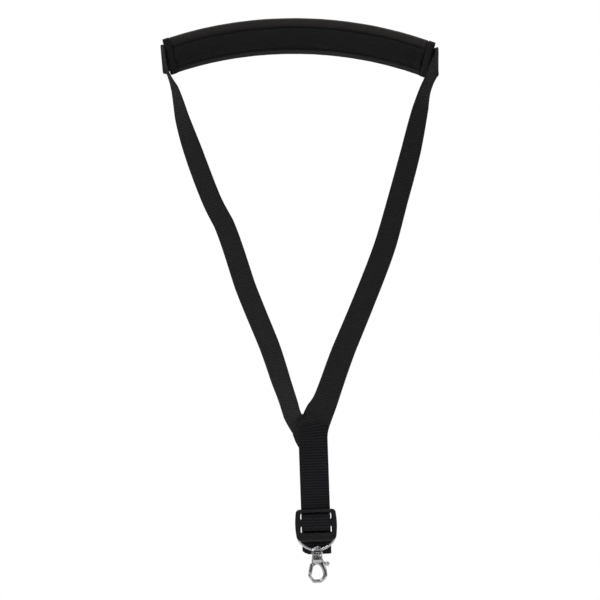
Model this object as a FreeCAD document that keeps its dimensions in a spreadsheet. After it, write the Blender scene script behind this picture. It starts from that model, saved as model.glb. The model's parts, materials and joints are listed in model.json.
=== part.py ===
import FreeCAD, Part
import math
import os

import Sketcher
from FreeCAD import Placement, Rotation, Vector

# A saxophone neck strap hanging at rest: a padded crescent that goes round the neck, two webbing
# straps that meet in a sewn junction, one drop strap, an adjusting slider, a D-ring and a swivel hook.
# Frame: +X to the wearer's left, +Z up, +Y towards the back of the neck.
# Origin: the middle of the pad's inner face, where it lies against the neck. Millimetres.

doc = FreeCAD.newDocument("SaxophoneNeckStrap")
sheet = doc.addObject("Spreadsheet::Sheet", "Dims")

DIMENSIONS = (
    # webbing and layers
    ("webbing_width", 25.0),
    ("webbing_thickness", 1.4),
    ("layer_gap", 0.1),
    # neck pad
    ("arc_radius", 225.0),
    ("arc_half_angle", 29.6),
    ("arc_tilt", 43.0),
    ("pad_lean", 22.0),
    ("pad_roll", 2.7),
    ("channel_half", 9.6),
    ("pad_top", 17.7),
    ("pad_bottom", -14.3),
    ("crown_rise", 3.8),
    ("facing_thickness", 0.8),
    ("backing_thickness", 1.0),
    ("binding_thickness", 0.7),
    ("hem_angle", 1.5),
    # straps and junction
    ("junction_top", -333.8),
    ("junction_height", 23.0),
    ("drop_front_y", -24.0),
    ("thread_width", 0.7),
    ("thread_proud", 0.3),
    # slider
    ("slider_width", 36.0),
    ("slider_top", -406.8),
    ("slider_depth", 4.0),
    ("slider_round_top", 2.6),
    ("slider_round_low", 4.6),
    ("slot_half_width", 15.0),
    ("slot_height", 5.2),
    ("top_bar", 3.2),
    ("centre_bar", 6.2),
    ("bottom_bar", 7.6),
    # D-ring
    ("ring_wire", 2.8),
    ("ring_bar_z", -429.9),
    ("ring_bottom_z", -442.2),
    ("ring_arc_radius", 17.0),
    ("ring_corner_radius", 2.5),
    # swivel eye and rivet
    ("eye_wire", 2.2),
    ("eye_radius", 5.0),
    ("eye_yaw", 42.0),
    ("eye_plate_radius", 5.6),
    ("eye_plate_thickness", 1.3),
    ("rivet_radius", 1.25),
    ("rivet_head_radius", 2.5),
    ("rivet_head_height", 0.9),
    ("swivel_play", 0.06),
    # hook and gate
    ("hook_bottom_z", -470.7),
    ("hook_height", 24.4),
    ("hook_depth", 4.4),
    ("neck_depth", 6.0),
    ("neck_top_radius", 4.1),
    ("neck_low_radius", 5.0),
    ("gate_slot", 2.2),
    ("gate_hub_depth", 1.9),
    ("gate_arm_depth", 3.4),
    ("gate_hub_radius", 2.6),
    ("gate_pin_radius", 0.8),
    ("gate_pin_length", 5.0),
    ("lever_ball_radius", 1.95),
    ("spring_radius", 0.75),
    ("spring_wire", 0.3),
)

for row, (alias, number) in enumerate(DIMENSIONS, start=1):
    sheet.set(f"A{row}", alias)
    sheet.set(f"B{row}", str(number))
    sheet.setAlias(f"B{row}", alias)
doc.recompute()


def dim(alias):
    """The value of one driving dimension, in millimetres or degrees."""
    return float(sheet.get(alias))


NODES = []


def keep(feature, name):
    """Marks a finished feature as one sub-part, under the name its file gets."""
    feature.Label = name
    NODES.append(feature)
    return feature


# ---------------------------------------------------------------- sketch helpers


def new_body(name, placement=None):
    body = doc.addObject("PartDesign::Body", name)
    if placement is not None:
        body.Placement = placement
    return body


def sketch_on(body, role, name, offset=None):
    """A sketch on one of the body's own origin planes, moved by an offset if one is given."""
    sketch = body.newObject("Sketcher::SketchObject", name)
    plane = next(p for p in body.Origin.OriginFeatures if p.Role == role)
    sketch.AttachmentSupport = (plane, "")
    sketch.MapMode = "FlatFace"
    if offset is not None:
        sketch.AttachmentOffset = offset
    return sketch


def line(start, end):
    return Part.LineSegment(Vector(*start, 0), Vector(*end, 0))


def arc(start, middle, end):
    return Part.Arc(Vector(*start, 0), Vector(*middle, 0), Vector(*end, 0))


def outline(*steps):
    """The closed outline through the steps: (x, y) goes there straight, (mid, (x, y)) by an arc."""
    ends = [s if not isinstance(s[0], tuple) else s[1] for s in steps]
    edges = []
    for before, step, end in zip(ends[-1:] + ends[:-1], steps, ends):
        if isinstance(step[0], tuple):
            edges.append(arc(before, step[0], end))
        else:
            edges.append(line(before, end))
    return edges


def draw(sketch, edges):
    """Adds a closed chain of edges and joins each to the next."""
    first = sketch.GeometryCount
    for edge in edges:
        sketch.addGeometry(edge, False)
    for i in range(len(edges)):
        here, after = first + i, first + (i + 1) % len(edges)
        _, end, start = min(
            (sketch.getPoint(here, a).distanceToPoint(sketch.getPoint(after, b)), a, b)
            for a in (1, 2)
            for b in (1, 2)
        )
        sketch.addConstraint(Sketcher.Constraint("Coincident", here, end, after, start))


def rectangle(sketch, width, height):
    """A rectangle centred on the sketch's origin, its sides bound to two expressions."""
    x, y = 1.0, 0.5
    corners = [(-x, -y), (x, -y), (x, y), (-x, y)]
    first = sketch.GeometryCount
    for i, corner in enumerate(corners):
        sketch.addGeometry(line(corner, corners[(i + 1) % 4]), False)
    for i in range(4):
        sketch.addConstraint(Sketcher.Constraint("Coincident", first + i, 2, first + (i + 1) % 4, 1))
        direction = "Horizontal" if i % 2 == 0 else "Vertical"
        sketch.addConstraint(Sketcher.Constraint(direction, first + i))
    sketch.addConstraint(Sketcher.Constraint("Symmetric", first, 1, first + 1, 2, -1, 1))
    wide = sketch.addConstraint(Sketcher.Constraint("DistanceX", first, 1, first, 2, 2 * x))
    high = sketch.addConstraint(Sketcher.Constraint("DistanceY", first + 1, 1, first + 1, 2, 2 * y))
    sketch.setExpression(f"Constraints[{wide}]", width)
    sketch.setExpression(f"Constraints[{high}]", height)


def circle(sketch, radius):
    """A circle about the sketch's origin, its radius bound to an expression."""
    index = sketch.addGeometry(Part.Circle(Vector(), Vector(0, 0, 1), 1.0), False)
    sketch.addConstraint(Sketcher.Constraint("Coincident", index, 3, -1, 1))
    bound = sketch.addConstraint(Sketcher.Constraint("Radius", index, 1.0))
    sketch.setExpression(f"Constraints[{bound}]", radius)


def extrude(body, sketch, length):
    """A pad, the same distance to both sides of its sketch, its length bound to an expression."""
    pad = body.newObject("PartDesign::Pad", f"{body.Name}_pad_{len(body.Group)}")
    pad.Profile = sketch
    pad.SideType = "Symmetric"
    pad.setExpression("Length", length)
    sketch.Visibility = False
    return pad


def cut_through(body, sketch, length):
    """A pocket to both sides of its sketch, checked by the volume that it takes away."""
    doc.recompute()
    before = body.Shape.Volume
    pocket = body.newObject("PartDesign::Pocket", f"{body.Name}_pocket_{len(body.Group)}")
    pocket.Profile = sketch
    pocket.SideType = "Symmetric"
    pocket.setExpression("Length", length)
    doc.recompute()
    if body.Shape.Volume > before - 0.1:
        raise RuntimeError(f"{pocket.Name} cut nothing from {body.Name}")
    return pocket


def at_depth(y, x=0.0, z=0.0):
    """The offset that moves a sketch on the XZ plane to depth y, its own axes staying X and Z."""
    return Placement(Vector(x, z, -y), Rotation())


# ---------------------------------------------------------------- neck pad

# The pad's section is drawn with x = depth from the crown of the inner face and y = height from
# the middle of the padded channel. It is turned about the axis of the neck arc, a cone's axis.
# The whole pad leans back and hangs a little lower on the wearer's left.
LEAN = Rotation(Vector(0, 1, 0), dim("pad_roll")) * Rotation(Vector(1, 0, 0), dim("pad_lean"))
ARC_ANGLE = math.radians(dim("arc_tilt") + dim("pad_lean"))
TO_CENTRE = (-math.sin(ARC_ANGLE), -math.cos(ARC_ANGLE))
AXIS = (math.cos(ARC_ANGLE), -math.sin(ARC_ANGLE))
ARC_CENTRE = tuple(dim("arc_radius") * c for c in TO_CENTRE)

FLANGE = dim("crown_rise")
BACKING_FRONT = FLANGE + dim("facing_thickness") + 0.2
WEBBING_FRONT = BACKING_FRONT + dim("backing_thickness") + dim("layer_gap")
STRAP_FRONT = WEBBING_FRONT + dim("webbing_thickness") + dim("layer_gap")
BINDING_FRONT = FLANGE - 0.2 - dim("binding_thickness")
HALF_CHANNEL = dim("channel_half")
HALF_ANGLE = dim("arc_half_angle")


def arc_place(angle):
    """The placement that carries a section from the middle of the pad to an angle along the arc."""
    centre = Vector(0, *ARC_CENTRE)
    turn = Rotation(Vector(0, *AXIS), angle)
    about = Placement(centre, Rotation()) * Placement(Vector(), turn) * Placement(-centre, Rotation())
    return Placement(Vector(), LEAN) * about


def draw_turned(sketch, edges):
    """Draws a section with the neck arc's axis as its construction line."""
    draw(sketch, edges)
    far = tuple(c + a for c, a in zip(ARC_CENTRE, AXIS))
    sketch.addGeometry(line(ARC_CENTRE, far), True)


def arc_body(name, edges, start, sweep):
    """A section turned along the neck arc, from an angle in degrees, over an expression's sweep."""
    body = new_body(name, arc_place(start))
    sketch = sketch_on(body, "YZ_Plane", f"{name}_section")
    draw_turned(sketch, edges)
    turned = body.newObject("PartDesign::Revolution", f"{name}_sweep")
    turned.Profile = sketch
    turned.ReferenceAxis = (sketch, ["Axis0"])
    turned.setExpression("Angle", sweep)
    return body, turned


def along_pad(name, edges, end_gap):
    """A layer that runs along the whole pad and stops a gap, in degrees, short of both ends."""
    sweep = f"2 * (Dims.arc_half_angle - {end_gap})"
    body, _ = arc_body(name, edges, -(HALF_ANGLE - end_gap), sweep)
    return keep(body, name)


def box_outline(x_low, x_high, y_low, y_high):
    return outline((x_low, y_low), (x_high, y_low), (x_high, y_high), (x_low, y_high))


def crown_arc(inset):
    """Points of the padded channel's arc: bottom, crown and top, moved in by an inset."""
    half = HALF_CHANNEL - inset
    return (FLANGE, -half), (inset, 0.0), (FLANGE, half)


HEM = dim("hem_angle")
skin = dim("facing_thickness")
low, peak, high = crown_arc(0.0)
inner_low, inner_peak, inner_high = crown_arc(skin)
flange_back = FLANGE + skin
along_pad(
    "pad_facing",
    outline(
        (FLANGE, dim("pad_bottom") + 1.0),
        low,
        (peak, high),
        (FLANGE, dim("pad_top") - 1.0),
        (flange_back, dim("pad_top") - 1.0),
        (flange_back, inner_high[1]),
        inner_high,
        (inner_peak, inner_low),
        (flange_back, inner_low[1]),
        (flange_back, dim("pad_bottom") + 1.0),
    ),
    HEM + 0.15,
)
foam_low, foam_peak, foam_high = crown_arc(skin + 0.15)
foam_back = BACKING_FRONT - 0.1
along_pad(
    "pad_foam",
    outline(
        (foam_back, foam_low[1]),
        foam_low,
        (foam_peak, foam_high),
        (foam_back, foam_high[1]),
    ),
    HEM + 0.4,
)
along_pad(
    "pad_backing",
    box_outline(
        BACKING_FRONT,
        BACKING_FRONT + dim("backing_thickness"),
        dim("pad_bottom") + 1.0,
        dim("pad_top") - 1.0,
    ),
    0.2,
)
half_web = dim("webbing_width") / 2
along_pad(
    "pad_webbing",
    box_outline(WEBBING_FRONT, WEBBING_FRONT + dim("webbing_thickness"), -half_web, half_web),
    HEM + 0.15,
)


def binding(name, edge, inner, back_inner):
    """A tape folded round one long edge of the pad: a front leg, the fold and a shorter back leg."""
    tape = dim("binding_thickness")
    side = 1 if edge > 0 else -1
    front = BINDING_FRONT
    back = WEBBING_FRONT + tape
    core = edge - side * tape
    return along_pad(
        name,
        outline(
            (front, inner),
            (front, edge),
            (back, edge),
            (back, back_inner),
            (back - tape, back_inner),
            (back - tape, core),
            (front + tape, core),
            (front + tape, inner),
        ),
        HEM + 0.1,
    )


binding("binding_top", dim("pad_top"), HALF_CHANNEL + 0.5, half_web + 0.3)
binding("binding_bottom", dim("pad_bottom"), -HALF_CHANNEL - 0.5, -half_web - 0.3)


def end_hem(name, side):
    """The tape folded round one end of the pad, open towards the middle of the pad."""
    tape = dim("binding_thickness")
    front = BINDING_FRONT
    back = WEBBING_FRONT + tape
    inner = side * (HALF_ANGLE - HEM)
    body, turned = arc_body(
        name,
        box_outline(front, back, dim("pad_bottom"), dim("pad_top")),
        inner,
        "Dims.hem_angle + 0.1",
    )
    turned.Reversed = side < 0
    doc.recompute()
    volume = body.Shape.Volume
    sketch = sketch_on(body, "YZ_Plane", f"{name}_inside")
    draw_turned(
        sketch,
        box_outline(front + tape, back - tape, dim("pad_bottom") - 1, dim("pad_top") + 1),
    )
    groove = body.newObject("PartDesign::Groove", f"{name}_groove")
    groove.Profile = sketch
    groove.ReferenceAxis = (sketch, ["Axis0"])
    groove.setExpression("Angle", "Dims.hem_angle - 0.08")
    groove.Reversed = turned.Reversed
    doc.recompute()
    if body.Shape.Volume > 0.8 * volume:
        raise RuntimeError(f"{name}: the groove cut nothing")
    return keep(body, name)


end_hem("end_hem_right", -1)
end_hem("end_hem_left", 1)

SEAM_FRONT = FLANGE - 0.35
SEAM_HEIGHTS = (HALF_CHANNEL + 0.22, -HALF_CHANNEL - 0.22)


def pad_stitching():
    """The two rows of thread that close the padded channel, one solid for each row."""
    rows = []
    for i, height in enumerate(SEAM_HEIGHTS):
        edges = box_outline(SEAM_FRONT, FLANGE, height - 0.18, height + 0.18)
        sweep = f"2 * (Dims.arc_half_angle - {HEM + 0.2})"
        body, _ = arc_body(f"seam_row_{i}", edges, -(HALF_ANGLE - HEM - 0.2), sweep)
        rows.append(body)
    group = doc.addObject("Part::Compound", "pad_stitching")
    group.Links = rows
    return keep(group, "pad_stitching")


pad_stitching()

# ---------------------------------------------------------------- webbing straps


def pad_point(angle, depth, height):
    """A point of the pad, given by arc angle and section coordinates, in the part's frame."""
    return arc_place(angle).multVec(Vector(0, depth, height))


def pad_direction(angle, vector):
    return arc_place(angle).Rotation.multVec(vector)


SEWN_BACK = (4.5, 2.2, -0.2)


def strap_stations(side, run):
    """Centres and face directions of one strap, from where it is sewn to the pad to the junction.

    side is +1 for the strap at +X. run lists the hanging stretch: x, y, z and the roll in degrees,
    where 90 is edge-on from the front and 0 is flat to the front.
    """
    depth = STRAP_FRONT + dim("webbing_thickness") / 2
    stations = []
    for back in SEWN_BACK:
        angle = side * (HALF_ANGLE - back)
        stations.append((pad_point(angle, depth, 0), pad_direction(angle, Vector(0, -side, 0))))
    end = stations[-1][0]
    outward = pad_direction(side * HALF_ANGLE, Vector(side, 0, 0))
    stations.append((end + outward * 2.2 + Vector(0, -1.6, 0), Vector(-1, -0.35 * side, 0)))
    for x, y, z, roll in run:
        tilt = math.radians(roll)
        stations.append((Vector(x, y, z), Vector(-math.sin(tilt), side * math.cos(tilt), 0.0)))
    return stations


def ribbon(name, stations):
    """A flat strap lofted through its stations, each a rectangle square to the strap's run."""
    body = new_body(name)
    sections = []
    for i, (centre, face) in enumerate(stations):
        ahead = stations[min(i + 1, len(stations) - 1)][0]
        behind = stations[max(i - 1, 0)][0]
        run = (ahead - behind).normalize()
        across = face.cross(run).normalize()
        turn = Rotation(across, run.cross(across), run, "ZXY")
        sketch = sketch_on(body, "XY_Plane", f"{name}_{i}", Placement(centre, turn))
        rectangle(sketch, "Dims.webbing_width", "Dims.webbing_thickness")
        sections.append(sketch)
    doc.recompute()
    loft = body.newObject("PartDesign::AdditiveLoft", f"{name}_loft")
    loft.Profile = sections[0]
    loft.Sections = sections[1:]
    loft.Ruled = True
    return keep(body, name)


# The upper turn carries each strap from running forwards, on edge, to hanging down.
RIGHT_RUN = (
    (-115.9, -32.5, -17.5, 94.0),
    (-112.8, -38.5, -30.0, 90.0),
    (-107.9, -39.5, -42.0, 76.0),
    (-102.4, -38.5, -67.0, 60.0),
    (-94.7, -36.5, -94.0, 50.0),
    (-79.9, -33.5, -138.0, 48.0),
    (-70.0, -32.0, -159.0, 46.0),
    (-54.0, -29.0, -212.0, 44.0),
    (-35.1, -25.0, -264.0, 45.0),
    (-26.0, -22.5, -295.0, 47.0),
    (-19.6, -18.6, -315.0, 34.0),
    (-12.5, -16.8, -325.5, 8.0),
    (-5.8, -18.6, -335.0, 0.0),
    (-1.5, -19.2, -345.0, 0.0),
    (0.0, -19.2, -356.0, 0.0),
)
LEFT_RUN = (
    (117.9, -32.5, -27.0, 92.0),
    (113.0, -38.5, -36.5, 76.0),
    (106.7, -39.5, -49.5, 68.0),
    (101.6, -38.5, -66.5, 56.0),
    (92.7, -36.5, -100.5, 46.0),
    (79.7, -33.5, -143.5, 44.0),
    (68.3, -31.5, -180.0, 41.0),
    (48.1, -28.5, -228.5, 40.0),
    (28.9, -26.0, -271.0, 37.0),
    (11.9, -24.0, -313.5, 30.0),
    (7.0, -22.3, -322.5, 14.0),
    (3.6, -20.8, -330.0, 1.0),
    (1.0, -20.9, -338.0, 0.0),
    (0.0, -20.9, -347.0, 0.0),
    (0.0, -20.9, -356.0, 0.0),
)
ribbon("strap_right", strap_stations(-1, RIGHT_RUN))
ribbon("strap_left", strap_stations(1, LEFT_RUN))


def stitched_box(name, width, height, place):
    """Thread in a rectangle with two diagonals, standing slightly proud of the webbing."""
    body = new_body(name, place)
    sketch = sketch_on(body, "XZ_Plane", f"{name}_frame")
    thread = dim("thread_width")
    half_x, half_z = width / 2, height / 2
    draw(sketch, box_outline(-half_x, half_x, -half_z, half_z))
    in_x, in_z = half_x - thread, half_z - thread
    slant = thread / 2 / math.sin(math.atan2(in_z, in_x))
    rise = thread / 2 / math.cos(math.atan2(in_z, in_x))
    clear_x = in_x * (1 - rise / in_z)
    clear_z = in_z * (1 - slant / in_x)
    for sx, sz in ((0, 1), (0, -1)):
        draw(sketch, outline((-clear_x, sz * in_z), (clear_x, sz * in_z), (sx, sz * rise)))
    for side in (1, -1):
        draw(sketch, outline((side * in_x, -clear_z), (side * in_x, clear_z), (side * slant, 0)))
    extrude(body, sketch, "Dims.thread_proud")
    return keep(body, name)


TACK_DEPTH = STRAP_FRONT + dim("webbing_thickness") + dim("thread_proud") / 2 + 0.02
for tack, side in (("bar_tack_right", -1), ("bar_tack_left", 1)):
    spot = arc_place(side * (HALF_ANGLE - 2.3)) * Placement(Vector(0, TACK_DEPTH, 0), Rotation())
    stitched_box(tack, 13.0, 19.0, spot)

# ---------------------------------------------------------------- junction and drop strap

FRONT_Y = dim("drop_front_y")
HALF_WEB_THICKNESS = dim("webbing_thickness") / 2
FOLD_PITCH = dim("webbing_thickness") + dim("layer_gap")
JUNCTION_LOW = dim("junction_top") - dim("junction_height")


def side_strip(name, path, radii):
    """Webbing that follows a path of (y, z) points, rounded by radii, across its full width."""
    body = new_body(name)
    sketch = sketch_on(body, "YZ_Plane", f"{name}_side")
    draw(sketch, thick_path(path, radii, HALF_WEB_THICKNESS))
    extrude(body, sketch, "Dims.webbing_width")
    return keep(body, name)


def thick_path(path, radii, half):
    """The outline of a strip of constant thickness about a path with rounded corners."""
    points = [Vector(*p, 0) for p in path]
    left, right = [], []
    start = points[0]
    for i in range(1, len(points) - 1):
        before = (points[i] - points[i - 1]).normalize()
        after = (points[i + 1] - points[i]).normalize()
        turn = math.atan2(before.cross(after).z, before.dot(after))
        reach = radii[i - 1] * math.tan(abs(turn) / 2)
        first, last = points[i] - before * reach, points[i] + after * reach
        spin = 1 if turn > 0 else -1
        centre = first + Vector(-before.y, before.x, 0) * radii[i - 1] * spin
        middle = (points[i] - centre).normalize()
        for store, offset in ((left, half), (right, -half)):
            radius = radii[i - 1] - spin * offset
            side = Vector(-before.y, before.x, 0) * offset
            store.append(("line", start + side, first + side))
            arc_end = centre + (last - centre).normalize() * radius
            store.append(("arc", first + side, centre + middle * radius, arc_end))
        start = last
    final = (points[-1] - points[-2]).normalize()
    for store, offset in ((left, half), (right, -half)):
        side = Vector(-final.y, final.x, 0) * offset
        store.append(("line", start + side, points[-1] + side))
    edges = [as_edge(e) for e in left]
    edges.append(Part.LineSegment(left[-1][-1], right[-1][-1]))
    edges += [as_edge((e[0], *e[:0:-1])) for e in reversed(right)]
    edges.append(Part.LineSegment(right[0][1], left[0][1]))
    return edges


def as_edge(entry):
    return Part.LineSegment(*entry[1:]) if entry[0] == "line" else Part.Arc(*entry[1:])


# The drop strap's top end is doubled over and sewn to the ends of both straps.
side_strip(
    "drop_strap_top",
    (
        (FRONT_Y, JUNCTION_LOW - 4.0),
        (FRONT_Y, dim("junction_top") - HALF_WEB_THICKNESS),
        (FRONT_Y + FOLD_PITCH, dim("junction_top") - HALF_WEB_THICKNESS),
        (FRONT_Y + FOLD_PITCH, JUNCTION_LOW),
    ),
    (FOLD_PITCH / 2 - 0.01, FOLD_PITCH / 2 - 0.01),
)
STITCH_Y = FRONT_Y - HALF_WEB_THICKNESS - dim("thread_proud") / 2 - 0.02
stitched_box(
    "junction_stitching",
    20.0,
    17.0,
    Placement(Vector(0, STITCH_Y, dim("junction_top") - 12.5), Rotation()),
)
WEB_SPLIT_Z = dim("slider_top") - 1.6
BACK_Y = FRONT_Y + dim("slider_depth") / 2 + 0.2 + HALF_WEB_THICKNESS
DROP_LOW = WEB_SPLIT_Z + 0.05
# Below the junction the drop strap moves back to pass behind the slider's top bar.
side_strip(
    "drop_strap",
    (
        (FRONT_Y, JUNCTION_LOW - 4.05),
        (FRONT_Y, JUNCTION_LOW - 16.0),
        (BACK_Y, dim("slider_top") + 8.0),
        (BACK_Y, DROP_LOW),
    ),
    (40.0, 40.0),
)

# ---------------------------------------------------------------- slider and its webbing

TOP = dim("slider_top")
UPPER_SLOT = TOP - dim("top_bar")
CENTRE_TOP = UPPER_SLOT - dim("slot_height")
CENTRE_LOW = CENTRE_TOP - dim("centre_bar")
LOWER_SLOT_LOW = CENTRE_LOW - dim("slot_height")
SLIDER_LOW = LOWER_SLOT_LOW - dim("bottom_bar")


def slider():
    """The three-bar slider: a flat moulding with two slots, rounder at its lower corners."""
    body = new_body("slider_body")
    sketch = sketch_on(body, "XZ_Plane", "slider_outline", at_depth(FRONT_Y))
    half = dim("slider_width") / 2
    high, low = dim("slider_round_top"), dim("slider_round_low")
    bulge = 1 - math.sqrt(0.5)
    high_in, low_in = bulge * high, bulge * low
    draw(
        sketch,
        outline(
            (half - low, SLIDER_LOW),
            ((half - low_in, SLIDER_LOW + low_in), (half, SLIDER_LOW + low)),
            (half, TOP - high),
            ((half - high_in, TOP - high_in), (half - high, TOP)),
            (-half + high, TOP),
            ((-half + high_in, TOP - high_in), (-half, TOP - high)),
            (-half, SLIDER_LOW + low),
            ((-half + low_in, SLIDER_LOW + low_in), (-half + low, SLIDER_LOW)),
        ),
    )
    extrude(body, sketch, "Dims.slider_depth")
    slots = sketch_on(body, "XZ_Plane", "slider_slots", at_depth(FRONT_Y))
    wide = dim("slot_half_width")
    for slot_top in (UPPER_SLOT, CENTRE_LOW):
        draw(slots, box_outline(-wide, wide, slot_top - dim("slot_height"), slot_top))
    cut_through(body, slots, "Dims.slider_depth + 2")
    return keep(body, "slider")


slider()

RING_R = dim("ring_wire") / 2
RING_Y = BACK_Y + HALF_WEB_THICKNESS + dim("layer_gap") + RING_R
WRAP = RING_R + dim("layer_gap") + HALF_WEB_THICKNESS
OUTER_Y = FRONT_Y - (dim("slider_depth") / 2 + 0.2 + HALF_WEB_THICKNESS + FOLD_PITCH)
INNER_Y = OUTER_Y + FOLD_PITCH
SLANT = 0.37
SLOT_STEP = 1.75

# Threading: behind the top bar, over the centre bar, behind the bottom bar, round the D-ring's
# bar, back over the centre bar under the first layer, out behind, and down as the free tail.
outer_high = UPPER_SLOT - 0.55
inner_high_z = outer_high - SLOT_STEP
outer_low = LOWER_SLOT_LOW + 0.6
inner_low_z = outer_low + SLOT_STEP
reach_outer = BACK_Y - OUTER_Y
reach_inner = BACK_Y - INNER_Y
side_strip(
    "adjuster_webbing",
    (
        (BACK_Y, WEB_SPLIT_Z),
        (BACK_Y, outer_high),
        (OUTER_Y, outer_high - SLANT * reach_outer),
        (OUTER_Y, outer_low + SLANT * reach_outer),
        (BACK_Y, outer_low),
        (BACK_Y, dim("ring_bar_z") - WRAP),
        (RING_Y + WRAP, dim("ring_bar_z") - WRAP),
        (RING_Y + WRAP, inner_low_z - SLANT * (RING_Y + WRAP - BACK_Y)),
        (INNER_Y, inner_low_z + SLANT * reach_inner),
        (INNER_Y, inner_high_z - SLANT * reach_inner),
        (BACK_Y + 3.4, inner_high_z + SLANT * 3.4),
        (BACK_Y + 6.7, CENTRE_TOP - 2.0),
        (BACK_Y + 7.2, CENTRE_LOW - 7.0),
        (BACK_Y + 12.5, -444.8),
    ),
    (0.9, 1.5, 1.5, 0.9, WRAP - 0.01, WRAP - 0.01, 1.2, 0.85, 0.85, 1.8, 6.0, 20.0),
)

# ---------------------------------------------------------------- D-ring


def d_ring():
    """A round wire bent to a D: a straight bar on top, small corners and one wide arc below."""
    body = new_body("d_ring_body")
    wide, small = dim("ring_arc_radius"), dim("ring_corner_radius")
    bar_z = dim("ring_bar_z")
    arc_z = dim("ring_bottom_z") + wide
    drop = arc_z - (bar_z - small)
    corner_x = math.sqrt((wide - small) ** 2 - drop**2)
    touch = (corner_x * wide / (wide - small), arc_z - drop * wide / (wide - small))
    centre = (corner_x, bar_z - small)
    middle = (math.pi / 2 + math.atan2(touch[1] - centre[1], touch[0] - centre[0])) / 2
    mid = (centre[0] + small * math.cos(middle), centre[1] + small * math.sin(middle))
    path = sketch_on(body, "XZ_Plane", "d_ring_path", at_depth(RING_Y))
    draw(
        path,
        outline(
            (corner_x, bar_z),
            (mid, touch),
            ((0.0, arc_z - wide), (-touch[0], touch[1])),
            ((-mid[0], mid[1]), (-corner_x, bar_z)),
        ),
    )
    start = Placement(Vector(RING_Y, bar_z, 0), Rotation())
    wire = sketch_on(body, "YZ_Plane", "d_ring_wire", start)
    circle(wire, "Dims.ring_wire / 2")
    doc.recompute()
    pipe = body.newObject("PartDesign::AdditivePipe", "d_ring_pipe")
    pipe.Profile = wire
    pipe.Spine = (path, ["Edge1", "Edge2", "Edge3", "Edge4"])
    return keep(body, "d_ring")


d_ring()

# ---------------------------------------------------------------- swivel eye and rivet

EYE_R = dim("eye_wire") / 2
EYE_TOP = dim("ring_bottom_z") + RING_R + 0.32 + EYE_R
EYE_CENTRE = EYE_TOP - dim("eye_radius")
RIVET_TOP = dim("ring_bottom_z") - RING_R - 0.25
PLATE_TOP = RIVET_TOP - dim("rivet_head_height") - 0.05
PLATE_LOW = PLATE_TOP - dim("eye_plate_thickness")
NECK_TOP = dim("hook_bottom_z") + dim("hook_height")


def primitive(kind, name, place, **sizes):
    """A Part primitive whose sizes are expressions of the driving dimensions."""
    solid = doc.addObject(f"Part::{kind}", name)
    for prop, expression in sizes.items():
        if isinstance(expression, str):
            solid.setExpression(prop, expression)
        else:
            setattr(solid, prop, expression)
    solid.Placement = place
    return solid


def fused(name, *solids):
    joined = doc.addObject("Part::MultiFuse", name)
    joined.Shapes = list(solids)
    joined.Refine = True
    return joined


def cut_from(name, base, tool):
    result = doc.addObject("Part::Cut", name)
    result.Base = base
    result.Tool = tool
    return result


def swivel_eye():
    """An arch of round wire over the D-ring on a round plate that the rivet turns in."""
    yaw = Rotation(Vector(0, 0, 1), dim("eye_yaw"))
    upright = yaw * Rotation(Vector(1, 0, 0), 90)
    arch = primitive(
        "Torus",
        "eye_arch",
        Placement(Vector(0, RING_Y, EYE_CENTRE), upright),
        Radius1="Dims.eye_radius",
        Radius2="Dims.eye_wire / 2",
        Angle3=180.0,
    )
    parts = [arch]
    leg = EYE_CENTRE - (PLATE_TOP - 0.6)
    for side in (1, -1):
        offset = yaw.multVec(Vector(side * dim("eye_radius"), 0, 0))
        spot = Placement(Vector(0, RING_Y, PLATE_TOP - 0.6) + offset, Rotation())
        foot = primitive("Cylinder", f"eye_leg_{side + 1}", spot, Radius="Dims.eye_wire / 2", Height=leg)
        parts.append(foot)
    plate = primitive(
        "Cylinder",
        "eye_plate",
        Placement(Vector(0, RING_Y, PLATE_LOW), Rotation()),
        Radius="Dims.eye_plate_radius",
        Height="Dims.eye_plate_thickness",
    )
    hole = primitive(
        "Cylinder",
        "eye_hole",
        Placement(Vector(0, RING_Y, PLATE_LOW - 1), Rotation()),
        Radius="Dims.rivet_radius + Dims.swivel_play",
        Height="Dims.eye_plate_thickness + 2",
    )
    return keep(cut_from("swivel_eye_cut", fused("eye_blank", plate, *parts), hole), "swivel_eye")


swivel_eye()

HOOK_Z = dim("hook_bottom_z")
SLOT_TOP = 21.8
RIVET_END = HOOK_Z + SLOT_TOP + 0.2


def swivel_rivet():
    """The rivet that hangs the hook from the eye: a flat head above the plate and a plain shank."""
    head = primitive(
        "Cylinder",
        "rivet_head",
        Placement(Vector(0, RING_Y, PLATE_TOP + 0.05), Rotation()),
        Radius="Dims.rivet_head_radius",
        Height="Dims.rivet_head_height",
    )
    shank = primitive(
        "Cylinder",
        "rivet_shank",
        Placement(Vector(0, RING_Y, RIVET_END), Rotation()),
        Radius="Dims.rivet_radius",
        Height=PLATE_TOP + 0.1 - RIVET_END,
    )
    return keep(fused("rivet_blank", head, shank), "swivel_rivet")


swivel_rivet()

# ---------------------------------------------------------------- hook and gate

# Heights on the hook are measured up from its lowest point, x from the swivel's axis.
PIVOT = (-0.4, 18.8)
BALL = (8.6, 16.1)


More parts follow.
